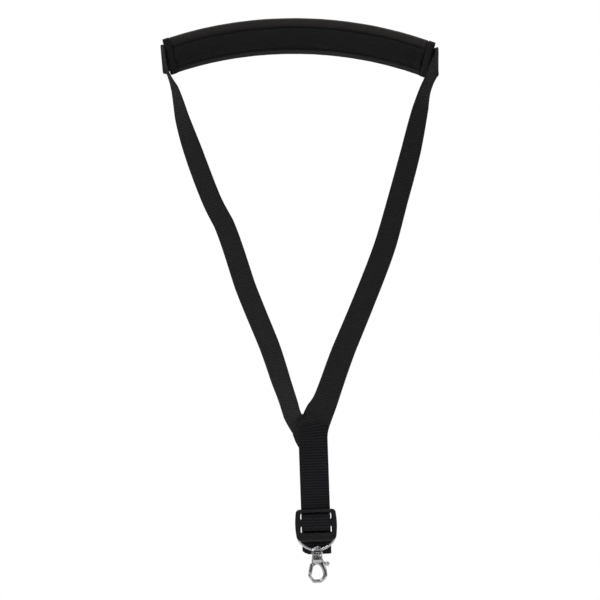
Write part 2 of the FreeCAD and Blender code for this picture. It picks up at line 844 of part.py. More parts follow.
def hook_body():
    """The cast hook: a round neck, a forked head for the gate, the spine and the curved claw."""
    body = new_body("hook_plate")
    sketch = sketch_on(body, "XZ_Plane", "hook_outline", at_depth(RING_Y, 0.0, HOOK_Z))
    draw(
        sketch,
        outline(
            (-5.0, 19.4),
            (-5.0, 17.8),
            (-3.5, 17.6),
            ((-2.2, 16.4), (-0.6, 15.9)),
            ((1.2, 15.1), (2.9, 12.8)),
            ((4.1, 10.1), (4.6, 6.8)),
            ((3.3, 3.9), (0.0, 2.8)),
            ((-3.4, 3.4), (-5.4, 6.0)),
            (-8.1, 8.7),
            (-8.0, 5.3),
            (-5.4, 1.8),
            ((-4.7, 0.5), (-3.2, 0.0)),
            (2.6, 0.0),
            (5.8, 2.4),
            (8.2, 5.5),
            (8.2, 7.0),
            ((7.6, 11.6), (6.3, 15.6)),
            (5.0, 19.4),
        ),
    )
    extrude(body, sketch, "Dims.hook_depth")
    neck = primitive(
        "Cone",
        "hook_neck_cone",
        Placement(Vector(0, RING_Y, HOOK_Z + 19.0), Rotation()),
        Radius1="Dims.neck_low_radius",
        Radius2="Dims.neck_top_radius",
        Height="Dims.hook_height - 19.0",
    )
    half_depth = dim("neck_depth") / 2
    slab = primitive(
        "Box",
        "hook_neck_slab",
        Placement(Vector(-6, RING_Y - half_depth, HOOK_Z + 18.0), Rotation()),
        Length=12.0,
        Width="Dims.neck_depth",
        Height=8.0,
    )
    flat_neck = doc.addObject("Part::Common", "hook_neck")
    flat_neck.Base = neck
    flat_neck.Tool = slab
    slot = primitive(
        "Box",
        "gate_slot_cut",
        Placement(Vector(-7, RING_Y - dim("gate_slot") / 2, HOOK_Z + 14.6), Rotation()),
        Length=17.0,
        Width="Dims.gate_slot",
        Height=SLOT_TOP - 14.6,
    )
    window = primitive(
        "Box",
        "neck_recess",
        Placement(Vector(-2, RING_Y - half_depth - 1, HOOK_Z + 19.9), Rotation()),
        Length=4.0,
        Width=1.5,
        Height=2.6,
    )
    bore = primitive(
        "Cylinder",
        "rivet_bore",
        Placement(Vector(0, RING_Y, RIVET_END), Rotation()),
        Radius="Dims.rivet_radius",
        Height=5.0,
    )
    pin_hole = primitive(
        "Cylinder",
        "gate_pin_hole",
        Placement(Vector(PIVOT[0], RING_Y + 4, HOOK_Z + PIVOT[1]), Rotation(Vector(1, 0, 0), 90)),
        Radius="Dims.gate_pin_radius",
        Height=8.0,
    )
    cuts = fused("hook_cuts", slot, window, bore, pin_hole)
    cuts.Refine = False
    return keep(cut_from("hook_cut", fused("hook_blank", body, flat_neck), cuts), "hook_body")


hook_body()

pin_y = RING_Y + dim("gate_pin_length") / 2
keep(
    primitive(
        "Cylinder",
        "gate_pin_solid",
        Placement(Vector(PIVOT[0], pin_y, HOOK_Z + PIVOT[1]), Rotation(Vector(1, 0, 0), 90)),
        Radius="Dims.gate_pin_radius",
        Height="Dims.gate_pin_length",
    ),
    "gate_pin",
)


def gate():
    """The sprung gate: hub, arm down to the claw's tip, and a thumb lever with a ball end."""
    hub = new_body("gate_plate")
    lever = sketch_on(hub, "XZ_Plane", "gate_lever", at_depth(RING_Y, 0.0, HOOK_Z))
    radius = dim("gate_hub_radius")
    x, z = PIVOT
    draw(
        lever,
        outline(
            (x, z + 0.9),
            (x - radius, z),
            (-6.0, 16.9),
            (-6.4, 14.0),
            (-3.6, 14.0),
            ((x + 0.4, z - radius), (x + radius, z - 1.4)),
            (BALL[0], BALL[1] - 0.7),
            (BALL[0], BALL[1] + 0.7),
            (x + radius, z + 0.9),
        ),
    )
    extrude(hub, lever, "Dims.gate_hub_depth")
    arm = sketch_on(hub, "XZ_Plane", "gate_arm", at_depth(RING_Y, 0.0, HOOK_Z))
    draw(
        arm,
        outline(
            (-5.2, 17.2),
            (-6.2, 16.9),
            ((-7.1, 13.0), (-7.95, 9.15)),
            (-5.35, 6.55),
            ((-4.3, 11.0), (-3.3, 15.2)),
            (-3.9, 16.6),
        ),
    )
    extrude(hub, arm, "Dims.gate_arm_depth")
    bore = sketch_on(hub, "XZ_Plane", "gate_bore", at_depth(RING_Y, x, HOOK_Z + z))
    circle(bore, "Dims.gate_pin_radius + 0.05")
    cut_through(hub, bore, "Dims.gate_hub_depth + 2")
    ball = primitive(
        "Sphere",
        "lever_ball",
        Placement(Vector(BALL[0], RING_Y, HOOK_Z + BALL[1]), Rotation()),
        Radius="Dims.lever_ball_radius",
    )
    return keep(fused("gate_blank", hub, ball), "gate")


gate()

SPRING_X = 1.9
SPRING_LOW = PIVOT[1] + 1.05


def gate_spring():
    """The small coil that holds the gate shut, standing on the lever inside the head."""
    height = SLOT_TOP - SPRING_LOW - 2 * dim("spring_wire") / 2 - 0.1
    radius = dim("spring_radius") - dim("spring_wire") / 2
    helix = Part.makeHelix(height / 3, height, radius)
    profile = Part.Wire(
        Part.makeCircle(dim("spring_wire") / 2, Vector(radius, 0, 0), Vector(0, 1, 0))
    )
    coil = doc.addObject("Part::Feature", "gate_spring_coil")
    coil.Shape = Part.Wire(helix).makePipeShell([profile], True, True)
    base = HOOK_Z + SPRING_LOW + dim("spring_wire") / 2 + 0.05
    coil.Placement = Placement(Vector(SPRING_X, RING_Y, base), Rotation())
    return keep(coil, "gate_spring")


gate_spring()

# ---------------------------------------------------------------- check and write

doc.recompute()
for item in doc.Objects:
    if "Invalid" in item.State or "Error" in item.State:
        raise RuntimeError(f"{item.Name} ({item.Label}) failed: {item.State}")

os.makedirs("parts", exist_ok=True)
for node in NODES:
    shape = node.Shape
    if shape.isNull() or not shape.isValid() or not shape.Solids:
        raise RuntimeError(f"{node.Label} has no valid solid")
    shape.exportStep(f"parts/{node.Label}.step")
    print(f"{node.Label}: {len(shape.Solids)} solid(s), {shape.Volume:.1f} mm3")
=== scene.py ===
import json
import logging
import math
from collections.abc import Callable, Iterable, Sequence
from dataclasses import dataclass, field
from enum import Enum
from typing import Any

import bmesh
import bpy
from mathutils import Matrix, Vector, noise

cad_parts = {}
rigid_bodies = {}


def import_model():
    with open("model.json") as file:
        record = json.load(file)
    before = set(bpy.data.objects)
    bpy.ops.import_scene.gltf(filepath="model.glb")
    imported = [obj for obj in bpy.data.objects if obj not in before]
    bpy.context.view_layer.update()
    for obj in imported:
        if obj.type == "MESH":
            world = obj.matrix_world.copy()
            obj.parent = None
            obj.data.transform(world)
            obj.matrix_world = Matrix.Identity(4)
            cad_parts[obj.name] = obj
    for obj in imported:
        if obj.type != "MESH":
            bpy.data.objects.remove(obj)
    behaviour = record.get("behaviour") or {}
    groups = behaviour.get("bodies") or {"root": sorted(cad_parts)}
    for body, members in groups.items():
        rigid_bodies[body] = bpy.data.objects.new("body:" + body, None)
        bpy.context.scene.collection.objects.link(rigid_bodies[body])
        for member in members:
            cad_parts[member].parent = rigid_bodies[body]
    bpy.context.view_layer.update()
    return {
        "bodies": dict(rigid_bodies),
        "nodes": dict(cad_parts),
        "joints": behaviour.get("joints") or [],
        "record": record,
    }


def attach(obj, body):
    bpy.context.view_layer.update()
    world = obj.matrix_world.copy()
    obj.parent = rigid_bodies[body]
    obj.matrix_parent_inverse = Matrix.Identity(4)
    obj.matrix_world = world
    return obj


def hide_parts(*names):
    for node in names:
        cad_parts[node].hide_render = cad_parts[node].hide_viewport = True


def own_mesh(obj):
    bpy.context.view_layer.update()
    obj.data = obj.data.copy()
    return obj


# A saxophone neck strap: a padded crescent for the neck, two webbing straps that meet in a sewn
# junction, a drop strap, a three-bar slider, a D-ring and a swivel hook with a sprung gate.
# Classes hold their sizes in millimetres; meshes are made in metres, in the frame's own axes.

MM = 0.001
LOG = logging.getLogger("neck_strap")

Point2 = tuple[float, float]
Step = Point2 | tuple[Point2, Point2]
Colour = tuple[float, float, float]


class Body(Enum):
    """The moving bodies that pieces ride on."""

    STRAP = "neck_strap"
    ADJUSTER = "adjuster"
    RING = "ring"
    EYE = "eye"
    HOOK = "hook"
    GATE = "gate_lever"


class Slot(Enum):
    """The material slots of the record."""

    PLUSH = "plush"
    FOAM = "foam"
    BACKING = "backing"
    WEBBING = "webbing"
    BINDING = "binding"
    THREAD = "thread"
    MOULDING = "moulding"
    CHROME = "chrome"
    PIN = "steel_pin"
    SPRING = "spring_steel"


class Side(Enum):
    """The two sides of the strap, valued by the sign of X."""

    LEFT = 1
    RIGHT = -1


# ---------------------------------------------------------------- node trees


class NodeBoard:
    """Adds nodes to a tree and joins their sockets."""

    def __init__(self, tree: bpy.types.NodeTree) -> None:
        """Keeps the tree that nodes are added to."""
        self.tree = tree

    def add(
        self,
        kind: str,
        inputs: dict[str | int, Any] | None = None,
        **settings: Any,
    ) -> bpy.types.Node:
        """Adds one node.

        Args:
            kind: The node's type name.
            inputs: Socket names or indices, each with a value or with a socket to link from.
            **settings: Properties of the node itself.

        Returns:
            The new node.
        """
        node = self.tree.nodes.new(kind)
        for name, value in settings.items():
            setattr(node, name, value)
        for key, value in (inputs or {}).items():
            if isinstance(value, bpy.types.NodeSocket):
                self.tree.links.new(value, node.inputs[key])
            else:
                node.inputs[key].default_value = value
        return node

    def math(self, operation: str, first: Any, second: Any = 0.0) -> bpy.types.NodeSocket:
        """Adds a Math node for both kinds of tree.

        Args:
            operation: The Math node's operation.
            first: A number or a socket.
            second: A number or a socket.

        Returns:
            The node's output socket.
        """
        return self.add("ShaderNodeMath", {0: first, 1: second}, operation=operation).outputs[0]

    def reading(self, attribute: str) -> bpy.types.NodeSocket:
        """The value of a mesh attribute, for a shader."""
        return self.add("ShaderNodeAttribute", attribute_name=attribute).outputs["Fac"]

    def speckle(self, scale: float, detail: float = 3.0, roughness: float = 0.6) -> bpy.types.NodeSocket:
        """Noise in object coordinates, for a shader.

        Args:
            scale: Noise scale, in cells per metre.
            detail: Octaves of noise.
            roughness: Weight of the finer octaves.

        Returns:
            The noise factor.
        """
        place = self.add("ShaderNodeTexCoord").outputs["Object"]
        values = {"Vector": place, "Scale": scale, "Detail": detail, "Roughness": roughness}
        return self.add("ShaderNodeTexNoise", values).outputs["Fac"]

    def blend(self, factor: Any, low: Colour, high: Colour) -> bpy.types.NodeSocket:
        """A colour between two others.

        Args:
            factor: The socket that drives the mix.
            low: Colour at 0.
            high: Colour at 1.

        Returns:
            The mixed colour.
        """
        ramp = self.add("ShaderNodeValToRGB", {"Fac": factor})
        ramp.color_ramp.elements[0].color = (*low, 1.0)
        ramp.color_ramp.elements[1].color = (*high, 1.0)
        return ramp.outputs["Color"]

    def relief(self, height: Any, distance: float, strength: float = 1.0) -> bpy.types.NodeSocket:
        """A bump normal from a height.

        Args:
            height: The socket with the height, 0 to 1.
            distance: Height of the relief in metres.
            strength: How strongly it shows.

        Returns:
            The bumped normal.
        """
        values = {"Height": height, "Distance": distance, "Strength": strength}
        return self.add("ShaderNodeBump", values).outputs["Normal"]


def tone(red: float, green: float, blue: float) -> Colour:
    """A linear colour from display values of 0 to 255."""

    def one(value: float) -> float:
        """One channel, from display to linear."""
        share = value / 255.0
        return share / 12.92 if share <= 0.04045 else ((share + 0.055) / 1.055) ** 2.4

    return one(red), one(green), one(blue)


def spread(colour: Colour, factor: float) -> Colour:
    """A colour made lighter or darker by a factor."""
    return tuple(min(1.0, c * factor) for c in colour)


# ---------------------------------------------------------------- finishes


@dataclass(frozen=True)
class Finish:
    """A surface finish; subclasses add what makes it their own."""

    name: str
    colour: Colour
    roughness: float

    def make(self) -> bpy.types.Material:
        """Builds the material.

        Returns:
            The finished material.
        """
        material = bpy.data.materials.new(self.name)
        material.use_nodes = True
        board = NodeBoard(material.node_tree)
        shader = material.node_tree.nodes["Principled BSDF"]
        shader.inputs["Roughness"].default_value = self.roughness
        self.dress(board, shader)
        return material

    def dress(self, board: NodeBoard, shader: bpy.types.Node) -> None:
        """Joins the finish's own nodes to the shader."""
        raise NotImplementedError


@dataclass(frozen=True)
class WebbingFinish(Finish):
    """Ribbed polyester webbing: a painted highlight on the top of each rib, painted shade between the ribs,
    and fine yarns across it.
    """

    rib_pitch: float = 2.4
    yarn: float = 0.62
    # How much lighter the tops of the ribs are painted: a painted highlight.
    crest_highlight: float = 2.1
    gloss: float = 0.5

    def dress(self, board: NodeBoard, shader: bpy.types.Node) -> None:
        """Paints light on the rib tops and shade between them, colours the yarns and gives the yarns their
        relief.
        """
        run = board.reading("run")
        across = board.reading("across")
        wave = board.math("SINE", board.math("MULTIPLY", run, math.pi / self.rib_pitch))
        rib = board.math("ABSOLUTE", wave)
        wander = board.math("MULTIPLY", board.speckle(900.0), 1.1)
        yarn_turn = board.math("ADD", board.math("MULTIPLY", across, 2 * math.pi / self.yarn), wander)
        yarn = board.math("ABSOLUTE", board.math("SINE", yarn_turn))
        worn = board.speckle(60.0, 4.0)
        # Painted light: the top of each rib is coloured lighter and the grooves between ribs darker, standing
        # in for light falling on the ribs; the yarn bands and the worn speckle are the webbing's own pattern
        # and wear.
        light = board.math("MULTIPLY", board.math("POWER", rib, 3.0), 0.55)
        light = board.math("ADD", light, board.math("MULTIPLY", yarn, 0.2))
        light = board.math("ADD", light, board.math("MULTIPLY", worn, 0.25))
        low, high = spread(self.colour, 0.35), spread(self.colour, self.crest_highlight)
        board.tree.links.new(board.blend(light, low, high), shader.inputs["Base Color"])
        height = board.math("MULTIPLY", yarn, board.math("ADD", rib, 0.25))
        board.tree.links.new(board.relief(height, 0.00012, 0.7), shader.inputs["Normal"])
        shader.inputs["Sheen Weight"].default_value = 0.05
        shader.inputs["Sheen Roughness"].default_value = 0.45
        shader.inputs["Specular IOR Level"].default_value = self.gloss


@dataclass(frozen=True)
class PlushFinish(Finish):
    """Short fleece: matte, nearly black, with brushed patches."""

    def dress(self, board: NodeBoard, shader: bpy.types.Node) -> None:
        """Mottles the fleece and roughens its surface."""
        patch = board.speckle(110.0, 4.0, 0.7)
        board.tree.links.new(
            board.blend(patch, spread(self.colour, 0.6), spread(self.colour, 1.9)),
            shader.inputs["Base Color"],
        )
        board.tree.links.new(board.relief(board.speckle(2600.0), 0.0003), shader.inputs["Normal"])
        shader.inputs["Sheen Weight"].default_value = 0.2
        shader.inputs["Sheen Roughness"].default_value = 0.6


@dataclass(frozen=True)
class BindingFinish(Finish):
    """Thin woven tape with a fine grain along and across it."""

    grain: float = 0.55

    def dress(self, board: NodeBoard, shader: bpy.types.Node) -> None:
        """Weaves the tape from its two directions."""
        turn = 2 * math.pi / self.grain
        warp = board.math("SINE", board.math("MULTIPLY", board.reading("run"), turn))
        weft = board.math("SINE", board.math("MULTIPLY", board.reading("across"), turn))
        weave = board.math("ADD", board.math("MULTIPLY", board.math("MULTIPLY", warp, weft), 0.5), 0.5)
        worn = board.speckle(85.0, 4.0, 0.65)
        light = board.math("ADD", board.math("MULTIPLY", weave, 0.35), board.math("MULTIPLY", worn, 0.6))
        board.tree.links.new(
            board.blend(light, spread(self.colour, 0.6), spread(self.colour, 1.7)),
            shader.inputs["Base Color"],
        )
        board.tree.links.new(board.relief(weave, 0.0001, 0.6), shader.inputs["Normal"])
        shader.inputs["Sheen Weight"].default_value = 0.15
        shader.inputs["Sheen Roughness"].default_value = 0.5


@dataclass(frozen=True)
class ThreadFinish(Finish):
    """Twisted polyester thread."""

    def dress(self, board: NodeBoard, shader: bpy.types.Node) -> None:
        """Twists the thread with fine bands."""
        place = board.add("ShaderNodeTexCoord").outputs["Object"]
        values = {"Vector": place, "Scale": 1400.0, "Distortion": 1.0}
        twist = board.add("ShaderNodeTexWave", values, bands_direction="DIAGONAL").outputs["Fac"]
        board.tree.links.new(
            board.blend(twist, spread(self.colour, 0.6), spread(self.colour, 1.8)),
            shader.inputs["Base Color"],
        )
        board.tree.links.new(board.relief(twist, 0.00006), shader.inputs["Normal"])


@dataclass(frozen=True)
class MouldingFinish(Finish):
    """Injection-moulded nylon: a satin black with a fine sparked texture and worn patches."""

    def dress(self, board: NodeBoard, shader: bpy.types.Node) -> None:
        """Varies the satin and adds the sparked texture."""
        worn = board.speckle(140.0, 5.0)
        board.tree.links.new(
            board.blend(worn, spread(self.colour, 0.7), spread(self.colour, 1.5)),
            shader.inputs["Base Color"],
        )
        gloss = board.math("MULTIPLY", worn, 0.3)
        gloss = board.math("ADD", gloss, self.roughness - 0.15)
        board.tree.links.new(gloss, shader.inputs["Roughness"])
        board.tree.links.new(board.relief(board.speckle(4200.0), 0.00003, 0.5), shader.inputs["Normal"])


@dataclass(frozen=True)
class MetalFinish(Finish):
    """Plated or plain metal with a little uneven polish and soft casting ripples."""

    ripple: float = 0.00008

    def dress(self, board: NodeBoard, shader: bpy.types.Node) -> None:
        """Varies the polish and ripples the surface."""
        shader.inputs["Metallic"].default_value = 1.0
        polish = board.speckle(420.0, 4.0)
        board.tree.links.new(
            board.blend(polish, spread(self.colour, 0.86), spread(self.colour, 1.05)),
            shader.inputs["Base Color"],
        )
        gloss = board.math("ADD", board.math("MULTIPLY", polish, 0.12), self.roughness - 0.05)
        board.tree.links.new(gloss, shader.inputs["Roughness"])
        ripples = board.relief(board.speckle(260.0, 1.0), self.ripple, 0.5)
        board.tree.links.new(ripples, shader.inputs["Normal"])


@dataclass(frozen=True)
class StageFinish(Finish):
    """The plain pale floor."""

    def dress(self, board: NodeBoard, shader: bpy.types.Node) -> None:
        """Gives the floor its plain colour."""
        shader.inputs["Base Color"].default_value = (*self.colour, 1.0)


class Wardrobe:
    """Every finish of the strap, made once and handed to the pieces."""

    def __init__(self) -> None:
        """Makes the materials."""
        self.plush = PlushFinish("fleece", tone(14, 15, 16), 0.95).make()
        self.strap_webbing = WebbingFinish("strap_webbing", tone(22, 20, 19), 0.72).make()
        # The drop webbing's ribs carry a far stronger painted highlight on their tops, 13 times its dark base
        # colour.
        self.drop_webbing = WebbingFinish("drop_webbing", tone(9, 9, 11), 0.6, crest_highlight=13.0, gloss=0.12).make()
        self.binding = BindingFinish("edge_tape", tone(48, 44, 42), 0.8).make()
        self.hem_tape = BindingFinish("hem_tape", tone(19, 17, 18), 0.8).make()
        self.lining = BindingFinish("lining", tone(17, 17, 18), 0.85, grain=0.9).make()
        self.thread = ThreadFinish("thread", tone(13, 12, 12), 0.6).make()
        self.moulding = MouldingFinish("moulded_nylon", tone(11, 12, 13), 0.42).make()
        self.chrome = MetalFinish("chrome_plate", (0.84, 0.84, 0.85), 0.14).make()
        self.pin_steel = MetalFinish("pin_steel", (0.5, 0.5, 0.51), 0.3).make()
        self.spring_steel = MetalFinish("spring_steel", (0.42, 0.42, 0.43), 0.32).make()


# ---------------------------------------------------------------- plain mesh helpers


def grid_faces(rows: int, ring: int) -> list[tuple[int, ...]]:
    """Faces between closed rings of points, with a cap at each end.

    Args:
        rows: Number of rings.
        ring: Points in each ring.

    Returns:
        The faces as tuples of point indices.
    """
    faces: list[tuple[int, ...]] = []
    for i in range(rows - 1):
        for j in range(ring):
            k = (j + 1) % ring
            faces.append((i * ring + j, i * ring + k, (i + 1) * ring + k, (i + 1) * ring + j))
    faces.append(tuple(reversed(range(ring))))
    faces.append(tuple((rows - 1) * ring + j for j in range(ring)))
    return faces


def solid_object(
    name: str,
    points: Sequence[Vector],
    faces: Sequence[tuple[int, ...]],
    readings: dict[str, Sequence[float]] | None = None,
) -> bpy.types.Object:
    """A smooth-shaded object from points in millimetres.

    Args:
        name: The object's name.
        points: Points in the strap's frame.
        faces: Faces as tuples of point indices.
        readings: Attributes stored on the points, by name.

    Returns:
        The object, linked to the scene.
    """
    mesh = bpy.data.meshes.new(name)
    mesh.from_pydata([p * MM for p in points], [], faces)
    for key, values in (readings or {}).items():
        mesh.attributes.new(key, "FLOAT", "POINT").data.foreach_set("value", values)
    face_outwards(mesh)
    mesh.shade_smooth()
    thing = bpy.data.objects.new(name, mesh)
    bpy.context.scene.collection.objects.link(thing)
    return thing


def face_outwards(mesh: bpy.types.Mesh) -> None:
    """Turns every face of a closed mesh outwards."""
    work = bmesh.new()
    work.from_mesh(mesh)
    bmesh.ops.recalc_face_normals(work, faces=work.faces)
    work.to_mesh(mesh)
    work.free()


def settle(thing: bpy.types.Object) -> bpy.types.Object:
    """Applies an object's modifiers, leaving a plain mesh.

    Args:
        thing: The object with modifiers.

    Returns:
        The same object.
    """
    bpy.context.view_layer.update()
    graph = bpy.context.evaluated_depsgraph_get()
    made = bpy.data.meshes.new_from_object(
        thing.evaluated_get(graph), preserve_all_data_layers=True, depsgraph=graph
    )
    thing.modifiers.clear()
    thing.data = made
    return thing


def joined(name: str, things: Sequence[bpy.types.Object]) -> bpy.types.Object:
    """Several mesh objects as one.

    Args:
        name: Name of the result.
        things: Objects whose meshes are joined; they are removed.

    Returns:
        The joined object.
    """
    work = bmesh.new()
    for thing in things:
        work.from_mesh(thing.data)
    mesh = bpy.data.meshes.new(name)
    work.to_mesh(mesh)
    work.free()
    mesh.shade_smooth()
    for thing in things:
        bpy.data.objects.remove(thing)
    result = bpy.data.objects.new(name, mesh)
    bpy.context.scene.collection.objects.link(result)
    return result


def carved(base: bpy.types.Object, tool: bpy.types.Object, operation: str) -> bpy.types.Object:
    """Joins or cuts one closed mesh with another.

    Args:
        base: The object that is kept.
        tool: The object that is added or taken away; it is removed.
        operation: UNION or DIFFERENCE.

    Returns:
        The base object with its new mesh.
    """
    cutter = base.modifiers.new("carve", "BOOLEAN")
    cutter.object = tool
    cutter.operation = operation
    cutter.solver = "EXACT"
    settle(base)
    bpy.data.objects.remove(tool)
    return base


def crisp(thing: bpy.types.Object, angle: float = 38.0) -> bpy.types.Object:
    """Shades smooth, keeps flat faces flat and edges sharper than an angle crisp.

    Args:
        thing: The object to shade.
        angle: Sharp edges start at this angle, in degrees.

    Returns:
        The same object.
    """
    thing.data.shade_smooth()
    thing.data.set_sharp_from_angle(angle=math.radians(angle))
    weights = thing.modifiers.new("weights", "WEIGHTED_NORMAL")
    weights.keep_sharp = True
    return settle(thing)


def dress(
    thing: bpy.types.Object,
    material: bpy.types.Material,
    body: Body,
    nodes: Iterable[str],
) -> bpy.types.Object:
    """Gives a piece its finish, its body and the CAD nodes that it stands for.

    Args:
        thing: The piece.
        material: Its material.
        body: The body it rides on.
        nodes: CAD nodes that it replaces.

    Returns:
        The same piece.
    """
    thing.data.materials.clear()
    thing.data.materials.append(material)
    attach(thing, body.value)
    names = tuple(nodes)
    if names:
        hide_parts(*names)
    LOG.info("%s: %d faces on %s", thing.name, len(thing.data.polygons), body.value)
    return thing


# ---------------------------------------------------------------- geometry node trees


class MeshRecipe:
    """A geometry node tree that is built once and applied to host objects."""

    name = "recipe"
    inputs: dict[str, tuple[str, float]] = {}

    def __init__(self) -> None:
        """Builds the tree, with its named inputs."""
        self.tree = bpy.data.node_groups.new(self.name, "GeometryNodeTree")
        face = self.tree.interface
        face.new_socket("Geometry", in_out="INPUT", socket_type="NodeSocketGeometry")
        for label, (kind, value) in self.inputs.items():
            socket = face.new_socket(label, in_out="INPUT", socket_type=kind)
            socket.default_value = value
        face.new_socket("Material", in_out="INPUT", socket_type="NodeSocketMaterial")
        face.new_socket("Geometry", in_out="OUTPUT", socket_type="NodeSocketGeometry")
        board = NodeBoard(self.tree)
        source = board.add("NodeGroupInput")
        result = self.build(board, source)
        plain = board.add("GeometryNodeRealizeInstances", {"Geometry": result})
        values = {"Geometry": plain.outputs["Geometry"], "Material": source.outputs["Material"]}
        final = board.add("GeometryNodeSetMaterial", values)
        board.add("NodeGroupOutput", {"Geometry": final.outputs["Geometry"]})

    def build(self, board: NodeBoard, source: bpy.types.Node) -> bpy.types.NodeSocket:
        """The recipe's own nodes.

        Args:
            board: Adds the nodes.
            source: The tree's Group Input node.

        Returns:
            The geometry socket that is realised and given its material.
        """
        raise NotImplementedError

    def apply(
        self,
        host: bpy.types.Object,
        material: bpy.types.Material,
        **sizes: float,
    ) -> bpy.types.Object:
        """Runs the tree on a host and leaves a plain mesh.

        Args:
            host: The object that the tree starts from.
            material: Material set by the tree.
            **sizes: Named inputs, with underscores for spaces.

        Returns:
            The host with its new mesh.
        """
        step = host.modifiers.new(self.name, "NODES")
        step.node_group = self.tree
        values: dict[str, Any] = {k.replace("_", " "): v for k, v in sizes.items()}
        values["Material"] = material
        for item in self.tree.interface.items_tree:
            if item.in_out == "INPUT" and item.name in values:
                step[item.identifier] = values[item.name]
        return settle(host)


class RibRecipe(MeshRecipe):
    """Raises the ribs of a woven band from its run and face attributes."""

    name = "webbing_ribs"
    inputs = {
        "Pitch": ("NodeSocketFloat", 2.4),
        "Height": ("NodeSocketFloat", 0.00014),
        "Roundness": ("NodeSocketFloat", 0.6),
    }

    def build(self, board: NodeBoard, source: bpy.types.Node) -> bpy.types.NodeSocket:
        """Moves each point out along its normal by the rib's rounded profile."""
        run = board.add("GeometryNodeInputNamedAttribute", {"Name": "run"}, data_type="FLOAT")
        face = board.add("GeometryNodeInputNamedAttribute", {"Name": "face"}, data_type="FLOAT")
        turn = board.math("DIVIDE", run.outputs["Attribute"], source.outputs["Pitch"])
        wave = board.math("ABSOLUTE", board.math("SINE", board.math("MULTIPLY", turn, math.pi)))
        shape = board.math("POWER", wave, source.outputs["Roundness"])
        lift = board.math("MULTIPLY", shape, source.outputs["Height"])
        lift = board.math("MULTIPLY", lift, face.outputs["Attribute"])
        normal = board.add("GeometryNodeInputNormal").outputs["Normal"]
        offset = board.add("ShaderNodeVectorMath", {0: normal, "Scale": lift}, operation="SCALE")
        values = {"Geometry": source.outputs["Geometry"], "Offset": offset.outputs["Vector"]}
        return board.add("GeometryNodeSetPosition", values).outputs["Geometry"]


class StitchRecipe(MeshRecipe):
    """Lays short rounded stitches along polylines."""

    name = "stitch_row"
    inputs = {
        "Pitch": ("NodeSocketFloat", 0.0028),
        "Length": ("NodeSocketFloat", 0.0021),
        "Thickness": ("NodeSocketFloat", 0.0004),
    }

    def build(self, board: NodeBoard, source: bpy.types.Node) -> bpy.types.NodeSocket:
        """Puts one stretched bead at every pitch of the row."""
        rows = board.add("GeometryNodeMeshToCurve", {"Mesh": source.outputs["Geometry"]})
        spaced = board.add(
            "GeometryNodeResampleCurve",
            {"Curve": rows.outputs["Curve"], "Length": source.outputs["Pitch"]},
            mode="LENGTH",
        )
        tangent = board.add("GeometryNodeInputTangent").outputs["Tangent"]
        turn = board.add("FunctionNodeAlignRotationToVector", {"Vector": tangent}, axis="Z")
        bead = board.add("GeometryNodeMeshUVSphere", {"Segments": 8, "Rings": 6, "Radius": 0.5})
        size = board.add(
            "ShaderNodeCombineXYZ",
            {
                "X": source.outputs["Thickness"],
                "Y": source.outputs["Thickness"],
                "Z": source.outputs["Length"],
            },
        )
        smooth = board.add("GeometryNodeSetShadeSmooth", {"Geometry": bead.outputs["Mesh"]})
        return board.add(
            "GeometryNodeInstanceOnPoints",
            {
                "Points": spaced.outputs["Curve"],
                "Instance": smooth.outputs["Geometry"],
                "Rotation": turn.outputs["Rotation"],
                "Scale": size.outputs["Vector"],
            },
        ).outputs["Instances"]


class PileRecipe(MeshRecipe):
    """Stands short fibres on the fleece, leaning a little at random."""

    name = "fleece_pile"
    inputs = {
        "Density": ("NodeSocketFloat", 3.6e6),
        "Length": ("NodeSocketFloat", 0.0009),
        "Root": ("NodeSocketFloat", 0.00009),
        "Lean": ("NodeSocketFloat", 0.7),
    }
    seed = 7

    def build(self, board: NodeBoard, source: bpy.types.Node) -> bpy.types.NodeSocket:
        """Scatters tapered fibres over the marked faces."""
        marked = board.add("GeometryNodeInputNamedAttribute", {"Name": "pile"}, data_type="FLOAT")
        chosen = board.add(
            "FunctionNodeCompare",
            {0: marked.outputs["Attribute"], 1: 0.5},
            data_type="FLOAT",
            operation="GREATER_THAN",
        )
        spots = board.add(
            "GeometryNodeDistributePointsOnFaces",
            {
                "Mesh": source.outputs["Geometry"],
                "Selection": chosen.outputs["Result"],
                "Density": source.outputs["Density"],
                "Seed": self.seed,
            },
        )
        fibre = board.add(
            "GeometryNodeMeshCone",
            {"Vertices": 3, "Radius Top": 0.00001, "Radius Bottom": source.outputs["Root"],
             "Depth": source.outputs["Length"]},
            fill_type="NONE",
        )
        lean = board.add(
            "FunctionNodeRandomValue",
            {"Min": (-1.0, -1.0, 0.0), "Max": (1.0, 1.0, 6.283), "Seed": self.seed + 1},
            data_type="FLOAT_VECTOR",
        )
        bend = board.add(
            "ShaderNodeCombineXYZ", {0: source.outputs["Lean"], 1: source.outputs["Lean"], 2: 1.0}
        )
        swing = board.add(
            "ShaderNodeVectorMath",
            {0: lean.outputs["Value"], 1: bend.outputs["Vector"]},
            operation="MULTIPLY",
        )
        turn = board.add(
            "FunctionNodeRotateRotation",
            {"Rotation": spots.outputs["Rotation"], "Rotate By": swing.outputs["Vector"]},
            rotation_space="LOCAL",
        )
        return board.add(
            "GeometryNodeInstanceOnPoints",
            {
                "Points": spots.outputs["Points"],
                "Instance": fibre.outputs["Mesh"],
                "Rotation": turn.outputs["Rotation"],
            },
        ).outputs["Instances"]


# ---------------------------------------------------------------- paths and bands


